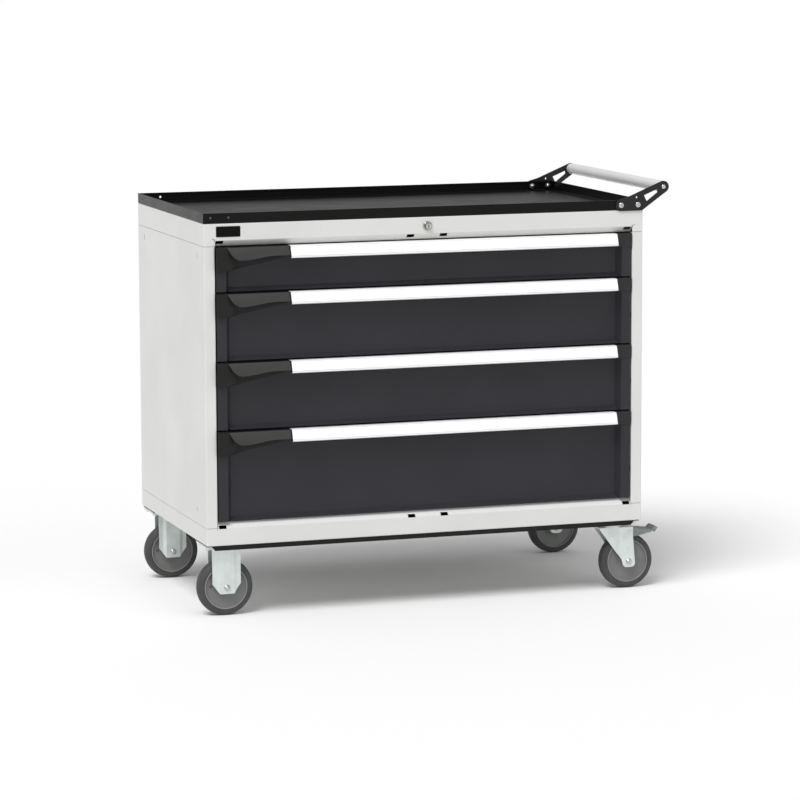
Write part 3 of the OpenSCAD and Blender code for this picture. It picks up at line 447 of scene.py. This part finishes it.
@dataclass
class Workshop:
    """The frame, its origin and the finishes, shared by every sub-assembly.

    Sizes are in mm in the cabinet's own axes: X from its left side, Y from its front, Z from its underside.
    """

    frame: dict
    made: dict[str, bpy.types.Material]
    origin: np.ndarray

    def material(self, finish: Finish) -> bpy.types.Material:
        """Gives a finish's material, made on first use.

        Args:
            finish: the finish.

        Returns:
            The material.
        """
        if finish.name not in self.made:
            self.made[finish.name] = finish.make()
        return self.made[finish.name]

    def dress_nodes(self) -> None:
        """Gives every CAD node the finish of its slot, and the pedals their zinc painted darker as painted
        shade.
        """
        for part in self.frame["record"]["subparts"]:
            node = self.frame["nodes"][part["node"]]
            node.data.materials.clear()
            finish = FINISH_OF_SLOT[part["material_slot"]]
            # The pedals get the zinc painted darker, as painted shade
            if part["node"].startswith("brake_pedal"):
                finish = PEDAL_PAINTED_SHADE
            node.data.materials.append(self.material(finish))
        LOG.info("dressed %d nodes", len(self.frame["nodes"]))

    def skin(self, name: str, stacks: list[np.ndarray], finish: Finish, body: str, slot: str,
             stands_for: tuple[str, ...] = (), hollow: bool = False,
             bevel_mm: float = 0.0) -> bpy.types.Object:
        """Makes one piece from stacks of loops and lets it ride on a body.

        Point j of loop i is loops[i, j]. Each quad joins points j and j + 1 of loops i and i + 1, with j
        running round. A hollow stack's last loop joins its first; any other is closed by a face at each end.

        Args:
            name: the piece's name.
            stacks: one or more arrays of loops, in mm.
            finish: its finish.
            body: the body it rides on.
            slot: the record's slot; not used.
            stands_for: the CAD nodes it stands for.
            hollow: whether each stack closes on itself, like a tyre.
            bevel_mm: width of a bevel on its sharp edges.

        Returns:
            The piece.
        """
        points, faces, base = [], [], 0
        for loops in stacks:
            count, around, _ = loops.shape
            rows = np.arange(count if hollow else count - 1)
            i, j = np.meshgrid(rows, np.arange(around), indexing="ij")
            near, far, turn = i * around, (i + 1) % count * around, (j + 1) % around
            quads = np.stack([near + j, near + turn, far + turn, far + j], -1).reshape(-1, 4) + base
            faces += quads.tolist()
            if not hollow:
                faces += [list(range(base + around - 1, base - 1, -1)),
                          list(range(base + (count - 1) * around, base + count * around))]
            points.append(loops.reshape(-1, 3))
            base += count * around
        mesh = bpy.data.meshes.new(name)
        mesh.from_pydata((np.concatenate(points) * MM + self.origin).tolist(), [], faces)
        mesh.polygons.foreach_set("use_smooth", np.ones(len(mesh.polygons), bool))
        mesh.set_sharp_from_angle(angle=SHARP)
        mesh.materials.append(self.material(finish))
        mesh.update()
        self.face_out(mesh)
        piece = bpy.data.objects.new(name, mesh)
        bpy.context.scene.collection.objects.link(piece)
        if bevel_mm:
            bevel = piece.modifiers.new("eased_edges", "BEVEL")
            bevel.width = bevel_mm * MM
            bevel.segments = 3
            bevel.limit_method = "ANGLE"
            bevel.angle_limit = SHARP
            bevel.harden_normals = True
        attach(piece, body)
        if stands_for:
            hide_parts(*stands_for)
        LOG.info("%s: %d faces on %s", name, len(faces), body)
        return piece

    def face_out(self, mesh: bpy.types.Mesh) -> None:
        """Turns every face of a closed mesh outwards.

        Args:
            mesh: the mesh.
        """
        shell = bmesh.new()
        shell.from_mesh(mesh)
        bmesh.ops.recalc_face_normals(shell, faces=shell.faces)
        shell.to_mesh(mesh)
        shell.free()


def turned(profile: np.ndarray | list[tuple[float, float]], centre: tuple[float, float, float],
           axis: str = "Y", around: int = 72, across: float = 0.0) -> np.ndarray:
    """Turns a profile about an axis through centre.

    A profile point (r, s) gives a loop of points centre + r (cos a) u + r (sin a) v + s w, where w is the
    axis. With across set, r is held to a hexagon that wide over its flats: at most across / 2 / cos(a'),
    where a' is the angle from the middle of the nearest flat.

    Args:
        profile: pairs of radius and place along the axis, in mm.
        centre: a point on the axis, in mm.
        axis: Y or Z.
        around: points in each loop.
        across: width over the flats, or 0 for a round piece.

    Returns:
        Loops of points, in mm.
    """
    pairs = np.asarray(profile, float)
    angle = np.linspace(0, 2 * np.pi, around, endpoint=False)
    radius = np.repeat(pairs[:, :1], around, 1)
    if across:
        off = (angle + np.pi / 6) % (np.pi / 3) - np.pi / 6
        radius = np.minimum(radius, across / 2 / np.cos(off))
    along = np.repeat(pairs[:, 1:], around, 1)
    first, second = radius * np.cos(angle), radius * np.sin(angle)
    parts = (first, along, second) if axis == "Y" else (first, second, along)
    return np.stack(parts, -1) + np.asarray(centre, float)


def run(outline: np.ndarray, x_places: np.ndarray | list[float]) -> np.ndarray:
    """Draws one outline in (y, z) along X.

    Args:
        outline: points, in mm.
        x_places: where along X each loop stands.

    Returns:
        Loops of points, in mm.
    """
    x = np.asarray(x_places, float)[:, None]
    y, z = (np.broadcast_to(outline[:, k], (len(x), len(outline))) for k in (0, 1))
    return np.stack([np.broadcast_to(x, y.shape), y, z], -1)


def brick(low: tuple[float, float, float], high: tuple[float, float, float], radius: float) -> np.ndarray:
    """Makes a block with four long rounded edges along X.

    Args:
        low: its lowest corner, in mm.
        high: its highest corner, in mm.
        radius: radius of the edges.

    Returns:
        Loops of points, in mm.
    """
    section = [(low[1], low[2]), (high[1], low[2]), (high[1], high[2]), (low[1], high[2])]
    return run(ring_eased(section, radius), [low[0], high[0]])


# ---------- drawer pulls ----------


@dataclass
class DrawerPull:
    """One drawer's pull: a profile with a label strip, and a moulded cap at each end.

    Reaches are how far a piece stands out of the drawer's front, and drops are measured down from the
    pull's head.
    """

    shop: Workshop
    number: int
    recess: float = 16.0
    top_reach: float = 9.0
    reach: float = 20.0
    block_right: float = 50.5
    strip_right: float = 49.5
    plate_right: float = 188.4
    label_left: float = 191.5
    label_right: float = 947.0
    wall: float = 2.2
    block_drop: float = 52.0
    face_drop: float = 29.0
    catch_lugs: tuple[float, float] = (96.9, 171.5)
    lug_width: float = 4.0

    def __post_init__(self) -> None:
        """Finds the pull's ends and head from the drawer's own solids."""
        low, high = (np.asarray(c) - self.shop.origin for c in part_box(f"pull_caps_{self.number}"))
        self.left, self.right, self.head = low[0] / MM, high[0] / MM, high[2] / MM
        self.body = f"drawer_{self.number}"

    def build(self) -> None:
        """Makes the profile, the label and both caps."""
        self.profile()
        self.left_cap()
        self.right_cap()

    def profile(self) -> None:
        """Makes the folded profile and the label that slides into it, held by a rib above and below."""
        h, r, t = self.head, self.reach, self.top_reach
        section = ring_eased([
            (self.recess, h - 13), (self.recess, h), (-t, h), (-r + 1.6, h - 24.6), (-r + 5.5, h - 26.6),
            (-r + 6.4, h - 25), (-r + 4.2, h - 23.6), (-t + 2.0, h - self.wall),
            (self.recess - 2, h - self.wall), (self.recess - 2, h - 13)],
            [0.4, 2.4, 1.0, 0.9, 0.5, 0.5, 0.9, 1.0, 1.4, 0.4])
        bar = run(section, [self.label_left, self.label_right + 0.4])
        self.shop.skin(f"pull_bar_{self.number}", [bar], PULL_LACQUER, self.body, "pull_profile",
                       (f"pull_profile_{self.number}",))
        down = np.array([-r + 1.6 + t, -24.6])
        slope = down / np.linalg.norm(down)
        out = np.array([slope[1], -slope[0]])
        top = np.array([-t, h])
        strip_line = ((2.4, 0.0), (2.4, 0.35), (22.6, 0.35), (22.6, 0.0))
        rib_line = ((0, 0), (0.2, 0.7), (0.8, 0.7), (1.0, 0))
        strip = np.array([top + slope * a + out * b for a, b in strip_line])
        ribs = [np.array([top + slope * (a + u) + out * b for u, b in rib_line]) for a in (1.2, 22.9)]
        ends = [self.label_left + 0.4, self.label_right]
        self.shop.skin(f"pull_label_{self.number}", [run(strip, ends)], LABEL_CARD, self.body, "pull_profile")
        # The ribs carry painted shade: a grey line along the label's edges
        self.shop.skin(f"pull_ribs_{self.number}", [run(rib, ends) for rib in ribs], PULL_RIB_PAINTED_SHADE, self.body,
                       "pull_profile")

    def plate(self) -> np.ndarray:
        """Makes the sloped thumb plate, whose foot is deepest near its left end.

        With u from 0 at x = 160 to 1 at x = 79, the foot lies 20.8 + 4.45 (1 - cos(180 u)) mm down the slope.

        Returns:
            Loops of points, in mm.
        """
        u = np.linspace(0, 1, 13)
        foot = np.column_stack([160 + (79 - 160) * u, 20.8 + 4.45 * (1 - np.cos(np.pi * u))])
        corners = [(self.strip_right, 0.0), (self.plate_right - 0.6, 0.0), (self.plate_right, 20.8),
                   *map(tuple, foot), (71.5, 28.6), (60.5, 20.5)]
        radii = [0.5, 0.5, 0.8] + [0.5] * (len(foot) - 1) + [4.0, 3.5, 6.0]
        flat = ring_eased(corners, radii)
        slant = np.array([-(self.reach - self.top_reach), -self.face_drop])
        down = slant / math.hypot(*slant)
        out = np.array([down[1], -down[0]])
        middle = flat.mean(0)
        loops = []
        for inset, depth in ((0.0, -self.wall), (0.0, -0.7), (0.2, -0.2), (0.7, 0.0)):
            drawn = middle + (flat - middle) * (1 - inset / np.array([69.0, 14.0]))
            yz = np.array([-self.top_reach, self.head]) + drawn[:, 1:] * down + out * depth
            loops.append(np.column_stack([drawn[:, 0], yz]))
        return np.stack(loops)

    def sweep(self) -> np.ndarray:
        """Makes the scoop under the plate, from the block's face back into the recess.

        With u from 0 at the block to 1 at the label, its face lies at -8.9 + 19.4 s mm, where
        s = t^2 (3 - 2 t) and t = min(u / 0.3, 1), and its foot lies 51 - 25.5 u^1.15 mm under the head.

        Returns:
            Loops of points, in mm.
        """
        u = np.linspace(0, 1, 33)
        t = np.clip(u / 0.3, 0, 1)
        face = -8.9 + 19.4 * t ** 2 * (3 - 2 * t)
        foot = self.head - 51 + 25.5 * u ** 1.15
        x = self.block_right - 0.6 + u * (self.label_left - 3 - self.block_right)
        back = np.clip((x - self.strip_right) / 10, 0, 1) * (self.recess - 0.1) - 0.05
        round_u = np.linspace(0, 1, 6)[:, None]
        curl = np.minimum(4.0, (back - face) * 0.45)
        y = np.concatenate([[back], [face], face + curl * (1 - np.sqrt(1 - round_u ** 2)), [back]])
        z = np.concatenate([[foot * 0 + self.head - 5]] * 2 + [foot + 4.0 * (1 - round_u), [foot]])
        return np.stack([np.broadcast_to(x, y.shape), y, z], -1).transpose(1, 0, 2)

    def left_cap(self) -> None:
        """Makes the left cap: block, top flange, scoop, the catch's lugs, end wall and thumb plate."""
        h, r, t = self.head, self.reach, self.top_reach
        block = brick((self.left, -t, h - self.block_drop), (self.block_right, -0.02, h), 1.2)
        flange = brick((self.strip_right, -t + 0.3, h - self.wall),
                       (self.plate_right, self.recess - 0.1, h - 0.05), 0.5)
        lug = ring_eased([(-1.5, h - 1), (-1.5, h - 11.5), (7.5, h - 11.5), (7.5, h - 1)],
                         [0.3, 4.2, 4.2, 0.3])
        lugs = [run(lug, [x, x + self.lug_width]) for x in self.catch_lugs]
        inner = self.recess - 0.5
        wall = ring_eased([(inner, h - 0.5), (0.4 - t, h - 0.5), (2.2 - r, h - 25.0), (5.6 - r, h - 25.0),
                           (3.0 - t, h - 3.0), (inner, h - 3.0)], 0.3)
        end_wall = run(wall, [self.plate_right + 0.2, self.label_left - 0.1])
        self.shop.skin(f"cap_left_{self.number}", [block, flange, self.sweep(), *lugs, end_wall], CAP_PLASTIC,
                       self.body, "cap_plastic", (f"pull_caps_{self.number}",), bevel_mm=0.5)
        # The thumb plate wears the cap's black painted lighter: painted light on its lit face
        self.shop.skin(f"thumb_plate_{self.number}", [self.plate()], CAP_FACE_PAINTED_LIGHT, self.body, "cap_plastic")

    def right_cap(self) -> None:
        """Makes the right cap: a wall that closes the profile's end, and a thin plate out to the side."""
        h, start, foot = self.head, self.label_right + 0.6, self.head - self.face_drop
        section = ring_eased([(-0.05, h), (-self.top_reach, h), (-self.reach, foot), (-0.05, foot)],
                             [0.2, 1.6, 1.2, 0.4])
        plate = brick((start, -2.0, foot), (self.right, -0.05, h), 0.7)
        self.shop.skin(f"cap_right_{self.number}", [run(section, [start, start + 2.8]), plate], CAP_SIDE,
                       self.body, "cap_plastic", bevel_mm=0.4)


# ---------- wheels ----------


@dataclass
class Wheel:
    """One caster wheel: a rubber tyre on a moulded hub, with a bearing cover on each face.

    Its profiles are pairs of radius and place along the axle, from the wheel's middle.
    """

    shop: Workshop
    kind: CasterKind
    end: End
    radius: float = 62.5
    rim: float = 48.5
    width: float = 32.0
    boss: float = 19.0

    @property
    def disc(self) -> float:
        """How far the disc's face stands from the wheel's middle."""
        return self.width / 2 - 6.5

    @property
    def ring(self) -> float:
        """How far the rim's face stands from the wheel's middle."""
        return self.width / 2 - 1

    def __post_init__(self) -> None:
        """Finds the wheel's middle from its tyre."""
        low, high = (np.asarray(c) - self.shop.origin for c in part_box(f"tyre_{self.key}"))
        self.centre = tuple((low + high) / 2 / MM)

    @property
    def key(self) -> str:
        """The ending of this wheel's node names."""
        return f"{self.kind.value}_{self.end.value}"

    @property
    def body(self) -> str:
        """The body that rolls."""
        return f"{self.kind.value}_wheel_{self.end.value}"

    def build(self) -> None:
        """Makes the tyre, the hub, its rims, the grease port and the covers."""
        self.tyre()
        self.hub()
        self.rims()
        self.port()
        self.covers()

    def tyre(self) -> None:
        """Makes the tyre: crowned tread, rounded shoulders and a raised bead beside the rim."""
        half, r, rim = self.width / 2, self.radius, self.rim
        side = [(rim + 0.1, -half + 1.2), (rim + 2.2, -half), (rim + 3.4, -half + 0.7),
                (r - 7.5, -half + 0.7), (r - 1.5, -half + 4.6), (r - 0.1, -4.0)]
        profile = side + [(r - 0.05, 0.0)] + [(a, -b) for a, b in side[::-1]]
        radii = [0.2, 0.6, 0.5, 3.2, 2.6, 2.0]
        loops = turned(ring_eased(profile, radii + [2.0] + radii[::-1], 5), self.centre, around=112)
        self.shop.skin(f"wheel_tyre_{self.key}", [loops], TYRE_RUBBER, self.body, "tyre_rubber",
                       (f"tyre_{self.key}",), hollow=True)

    def hub(self) -> None:
        """Makes the hub: a rim, a dished disc and a boss."""
        rim, ring, disc, boss = self.rim, self.ring, self.disc, self.boss
        face = [(6.2, boss), (12.6, boss), (15.5, disc + 1.0), (21.0, disc), (rim - 8.5, disc + 0.8),
                (rim - 4.4, disc + 1.4), (rim - 2.8, ring), (rim - 0.6, ring + 0.4), (rim, ring - 0.6)]
        profile = face + [(a, -b) for a, b in face[::-1]]
        radii = [0.3, 1.0, 2.0, 3.0, 2.5, 1.3, 0.7, 0.6, 0.4]
        loops = turned(ring_eased(profile, radii + radii[::-1]), self.centre, around=112)
        self.shop.skin(f"wheel_hub_{self.key}", [loops], HUB_PLASTIC, self.body, "hub_plastic",
                       (f"hub_{self.key}",), hollow=True)

    def rims(self) -> None:
        """Makes a raised ring round each face of the hub, painted lighter as a painted highlight."""
        line = [(self.rim - 2.2, self.ring - 1), (self.rim - 0.4, self.ring - 1),
                (self.rim - 0.5, self.ring + 0.75), (self.rim - 1.9, self.ring + 0.75)]
        rims = [turned(ring_eased([(r, side * s) for r, s in line], [0.1, 0.1, 0.6, 0.6]), self.centre,
                       around=112) for side in (-1, 1)]
        # The raised rings carry a painted highlight: the hub's plastic painted lighter
        self.shop.skin(f"wheel_rims_{self.key}", rims, RIM_PAINTED_HIGHLIGHT, self.body, "hub_plastic", hollow=True)

    def port(self) -> None:
        """Makes a dark cup of painted shade that stands for the grease hole, beside the fork on a fixed wheel
        and behind it on a swivel one.
        """
        lean = math.radians(176 if self.kind is CasterKind.FIXED else 96)
        out = 0.7 * self.rim
        x, y, z = self.centre
        line = [(1.1, -0.15), (1.9, -1.1), (2.6, -1.2), (3.1, -0.2)]
        cup = turned(eased([(r, s - self.disc) for r, s in line], 0.3),
                     (x + out * math.cos(lean), y, z + out * math.sin(lean)), around=28)
        # Painted shade: a dark dished cup in place of the hole
        self.shop.skin(f"wheel_hole_shade_{self.key}", [cup], HOLE_SHADE_AND_COVER_PLASTIC, self.body, "hub_plastic")

    def covers(self) -> None:
        """Makes a bearing cover on each face of the boss: a ring with a groove."""
        line = [(6.3, 0.0), (6.3, 0.5), (8.0, 0.7), (8.6, 0.2), (9.4, 0.2), (10.0, 0.7), (12.0, 0.4),
                (12.4, -0.4)]
        stacks = [turned([(r, side * (self.boss + s)) for r, s in eased(line, 0.15)], self.centre, around=56)
                  for side in (-1, 1)]
        self.shop.skin(f"wheel_covers_{self.key}", stacks, HOLE_SHADE_AND_COVER_PLASTIC, self.body, "hub_plastic")


# ---------- fasteners ----------


@dataclass
class Fasteners:
    """The screws, bolts and nuts of the push handle and the casters."""

    shop: Workshop
    depth: float = 568.0
    bracket: float = 3.0
    bolt_x: tuple[float, float] = (959.0, 999.0)
    bolt_z: float = 711.5
    grip: tuple[float, float] = (1060.0, 750.0)
    plate_x: tuple[float, float] = (53.0, 959.0)
    plate_y: tuple[float, float] = (54.0, 514.0)
    hole_pitch: tuple[float, float] = (42.0, 30.0)
    rim_sheet: float = 1.5
    fixed_axle_x: float = 53.0
    swivel_axle_x: float = 995.0
    axle_z: float = -99.5

    def build(self) -> None:
        """Makes every fastener."""
        self.handle_screws()
        self.caster_bolts()
        self.axle_ends()

    def button(self, x: float, z: float, face: float, side: int, radius: float,
               height: float) -> np.ndarray:
        """Makes a domed button head with a socket sunk in its middle.

        The dome stands 0.4 + (height - 0.4) sqrt(1 - (r / radius)^2) off the face, out to the socket.

        Args:
            x: place of the head.
            z: place of the head.
            face: the face it bears on.
            side: -1 where it faces the front, 1 where it faces the back.
            radius: radius of the head.
            height: height of the head.

        Returns:
            Loops of points, in mm.
        """
        r = radius * np.sin(np.linspace(np.pi / 2, 0.42, 9))
        rise = 0.4 + (height - 0.4) * np.sqrt(np.maximum(0.0, 1 - (r / radius) ** 2))
        dome = [(radius * 0.98, 0.0), *zip(r, rise), (radius * 0.36, rise[-1] - 0.1),
                (radius * 0.34, height * 0.35), (0.4, height * 0.3)]
        return turned([(a, side * s) for a, s in dome], (x, face, z), around=48)

    def handle_screws(self) -> None:
        """Makes the button heads outside the brackets, the domed nuts in the tray and the grip's screws."""
        hexagon = [(3.0, 0.0), (6.4, 0.1), (6.6, 0.8), (6.6, 5.2), (6.2, 6.0), (5.0, 6.2)]
        cap = [(4.2 * math.cos(a), 6.2 + 3.7 * math.sin(a)) for a in np.linspace(0, 1.45, 8)]
        screws, nuts = [], []
        for side, face in ((-1, -self.bracket), (1, self.depth + self.bracket)):
            inner = self.rim_sheet if side < 0 else self.depth - self.rim_sheet
            for x in self.bolt_x:
                screws.append(self.button(x, self.bolt_z, face, side, 6.4, 3.9))
                nuts.append(turned([(r, -side * s) for r, s in hexagon + cap], (x, inner, self.bolt_z),
                                   around=48, across=11.4))
            screws.append(self.button(self.grip[0], self.grip[1], face, side, 5.0, 2.9))
        self.shop.skin("handle_screws", screws, AXLE_ZINC, "root", "bolt_zinc", ("frame_bolts",))
        self.shop.skin("dome_nuts", nuts, AXLE_ZINC, "root", "bolt_zinc")

    def caster_bolts(self) -> None:
        """Makes the sixteen caster bolts: chamfered heads below, nuts inside the base pan."""
        head = [(3.0, -6.1), (7.4, -6.1), (7.4, -6.9), (6.9, -7.0), (7.5, -7.0), (7.5, -10.6), (6.4, -11.2),
                (0.5, -11.2)]
        nut = [(3.9, 1.3), (7.5, 1.3), (7.5, 6.6), (6.5, 7.2), (4.0, 7.2), (4.0, 7.9), (3.6, 8.2), (0.5, 8.2)]
        stacks = []
        for x, y, i, j in itertools.product(self.plate_x, self.plate_y, (-1, 1), (-1, 1)):
            place = (x + i * self.hole_pitch[0], y + j * self.hole_pitch[1], 0.0)
            stacks += [turned(line, place, "Z", 36, 13.0) for line in (head, nut)]
        self.shop.skin("caster_bolts", stacks, AXLE_ZINC, "root", "bolt_zinc")

    def axle(self, x: float, y: float) -> list[np.ndarray]:
        """Makes one wheel's axle: domed head with a ring at the front, nut and thread end behind, shaft.

        Args:
            x: place of the axle.
            y: the wheel's middle.

        Returns:
            Stacks of loops, in mm.
        """
        place = (x, y, self.axle_z)
        head = [(3.9, -24.0), (7.0, -24.1), (7.2, -25.2), (6.4, -26.0), (5.2, -26.1), (4.8, -27.4),
                (3.6, -28.6), (2.0, -29.0), (0.4, -29.1)]
        nut = [(3.9, 24.0), (7.4, 24.1), (7.4, 28.8), (6.4, 29.8), (4.1, 29.9), (4.0, 30.8), (3.5, 31.0),
               (0.4, 31.0)]
        shaft = [(6.0, -18.9), (6.0, 20.9)]
        return [turned(eased(head, 0.3), place, around=48), turned(nut, place, around=36, across=12.9),
                turned(shaft, place, around=36)]

    def axle_ends(self) -> None:
        """Makes both fixed axles in one piece, and each swivel axle on its own fork."""
        fixed = [stack for y in self.plate_y for stack in self.axle(self.fixed_axle_x, y)]
        self.shop.skin("axles_fixed", fixed, AXLE_ZINC, "root", "axle_zinc", ("fixed_axles",))
        for end, y in zip(End, self.plate_y):
            self.shop.skin(f"axle_{end.value}", self.axle(self.swivel_axle_x, y), AXLE_ZINC,
                           f"swivel_{end.value}", "axle_zinc", (f"swivel_axle_{end.value}",))


# ---------- top and trim ----------


@dataclass
class Trim:
    """The grip tube, the lock's rosette and the blank name plate."""

    shop: Workshop
    grip: tuple[float, float] = (1060.0, 750.0)
    depth: float = 568.0
    lock: tuple[float, float] = (506.0, 680.0)

    def build(self) -> None:
        """Makes all three."""
        self.grip_tube()
        self.rosette()
        self.name_plate()

    def grip_tube(self) -> None:
        """Makes the tube with rounded ends and a fine shadow groove beside each end plug."""
        r = 12.46
        end = [(4.2, 0.3), (r - 1.6, 0.3), (r - 0.9, 0.6), (r - 0.5, 2.6), (r - 0.9, 3.0), (r - 0.9, 3.6),
               (r, 4.0)]
        line = eased(end + [(a, self.depth - s) for a, s in end[::-1]], 0.3)
        tube = turned(line, (self.grip[0], 0.0, self.grip[1]), around=80)
        self.shop.skin("grip_bar", [tube], GRIP_ENAMEL, "root", "grip_enamel", ("grip_tube",))

    def rosette(self) -> None:
        """Makes the lock's stepped ring, open at its middle for the plug."""
        line = [(6.58, 0.0), (6.58, -1.6), (7.2, -2.3), (8.4, -2.5), (9.2, -3.0), (10.2, -2.6),
                (10.9, -1.4), (10.95, 0.0)]
        ring = turned(ring_eased(line, 0.35), (self.lock[0], 0.0, self.lock[1]))
        self.shop.skin("lock_rosette", [ring], LOCK_NICKEL, "root", "lock_nickel", ("lock_housing",),
                       hollow=True)

    def name_plate(self) -> None:
        """Makes the blank plate: a raised border round a sunken field."""
        low, high = (np.asarray(c) - self.shop.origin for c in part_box("name_plate"))
        x0, z0, x1, z1 = low[0] / MM, low[2] / MM, high[0] / MM, high[2] / MM
        middle = np.array([(x0 + x1) / 2, (z0 + z1) / 2])
        outline = ring_eased([(x0, z0), (x1, z0), (x1, z1), (x0, z1)], 2.0)
        loops = []
        for inset, y in ((0.05, 0.0), (0.05, -0.7), (0.35, -0.98), (1.3, -0.98), (1.6, -0.5), (2.2, -0.45)):
            drawn = middle + (outline - middle) * (1 - 2 * inset / np.array([x1 - x0, z1 - z0]))
            loops.append(np.column_stack([drawn[:, 0], np.full(len(drawn), y), drawn[:, 1]]))
        self.shop.skin("blank_plate", [np.stack(loops)], PLATE_PLASTIC, "root", "plate_plastic",
                       ("name_plate",))


# ---------- stage ----------


@dataclass
class Studio:
    """A plain pale floor, soft light from above and the left, and the camera."""

    camera_place: tuple[float, float, float] = (-2.5172, -7.5955, 1.5545)
    azimuth: float = -18.354
    elevation: float = 8.002
    roll: float = -0.217
    lens_mm: float = 160.02
    floor_half: float = 120.0

    def build(self) -> None:
        """Makes the floor, the lights and the camera."""
        self.floor()
        self.lights()
        self.camera()
        LOG.info("stage is set")

    def floor(self) -> None:
        """Makes the floor: one large pale square."""
        h = self.floor_half
        mesh = bpy.data.meshes.new("studio_floor")
        mesh.from_pydata([(-h, -h, 0), (h, -h, 0), (h, h, 0), (-h, h, 0)], [], [(0, 1, 2, 3)])
        floor = bpy.data.objects.new("studio_floor", mesh)
        bpy.context.scene.collection.objects.link(floor)
        material = bpy.data.materials.new("pale_paper")
        material.use_nodes = True
        shader = material.node_tree.nodes["Principled BSDF"]
        shader.inputs["Base Color"].default_value = linear("#F4F4F4")
        shader.inputs["Roughness"].default_value = 0.9
        shader.inputs["Specular IOR Level"].default_value = 0.0
        mesh.materials.append(material)

    def lights(self) -> None:
        """Makes a soft key from the upper left, a weaker fill from the right, and an even sky."""
        world = bpy.data.worlds.new("soft_sky")
        bpy.context.scene.world = world
        world.use_nodes = True
        sky = world.node_tree.nodes["Background"]
        sky.inputs["Color"].default_value = (1.0, 1.0, 1.0, 1.0)
        sky.inputs["Strength"].default_value = 0.46
        for name, power, spread, direction in (
            ("key", 2.25, 30, (0.50, 0.47, -1.0)),
            ("fill", 0.42, 70, (-0.9, 0.85, -0.6)),
        ):
            lamp = bpy.data.lights.new(name, "SUN")
            lamp.energy = power
            lamp.angle = math.radians(spread)
            light = bpy.data.objects.new(name, lamp)
            light.rotation_euler = Vector(direction).to_track_quat("-Z", "Y").to_euler()
            bpy.context.scene.collection.objects.link(light)

    def camera(self) -> None:
        """Makes the camera, turned by azimuth, elevation and roll."""
        data = bpy.data.cameras.new("camera")
        data.sensor_width = 36.0
        data.lens = self.lens_mm
        data.shift_x = -0.00088
        data.shift_y = -0.00507
        data.clip_end = 400.0
        azimuth, elevation, roll = map(math.radians, (self.azimuth, self.elevation, self.roll))
        forward = np.array([-math.sin(azimuth) * math.cos(elevation),
                            math.cos(azimuth) * math.cos(elevation), -math.sin(elevation)])
        right = np.array([math.cos(azimuth), math.sin(azimuth), 0.0])
        up = np.cross(right, forward)
        turned_right = math.cos(roll) * right + math.sin(roll) * up
        turned_up = -math.sin(roll) * right + math.cos(roll) * up
        matrix = Matrix(np.column_stack([turned_right, turned_up, -forward]).tolist()).to_4x4()
        matrix.translation = Vector(self.camera_place)
        camera = bpy.data.objects.new("camera", data)
        camera.matrix_world = matrix
        bpy.context.scene.collection.objects.link(camera)
        bpy.context.scene.camera = camera


def main() -> None:
    """Builds the stage and every sub-assembly."""
    logging.basicConfig(level=logging.INFO, format="%(name)s: %(message)s")
    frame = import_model()
    bpy.context.scene.view_settings.view_transform = "Standard"
    Studio().build()
    shop = Workshop(frame, {}, np.asarray(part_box("base_pan")[0]))
    shop.dress_nodes()
    for number in DRAWERS:
        DrawerPull(shop, number).build()
    for kind in CasterKind:
        for end in End:
            Wheel(shop, kind, end).build()
    Fasteners(shop).build()
    Trim(shop).build()


if __name__ == "__main__":
    main()
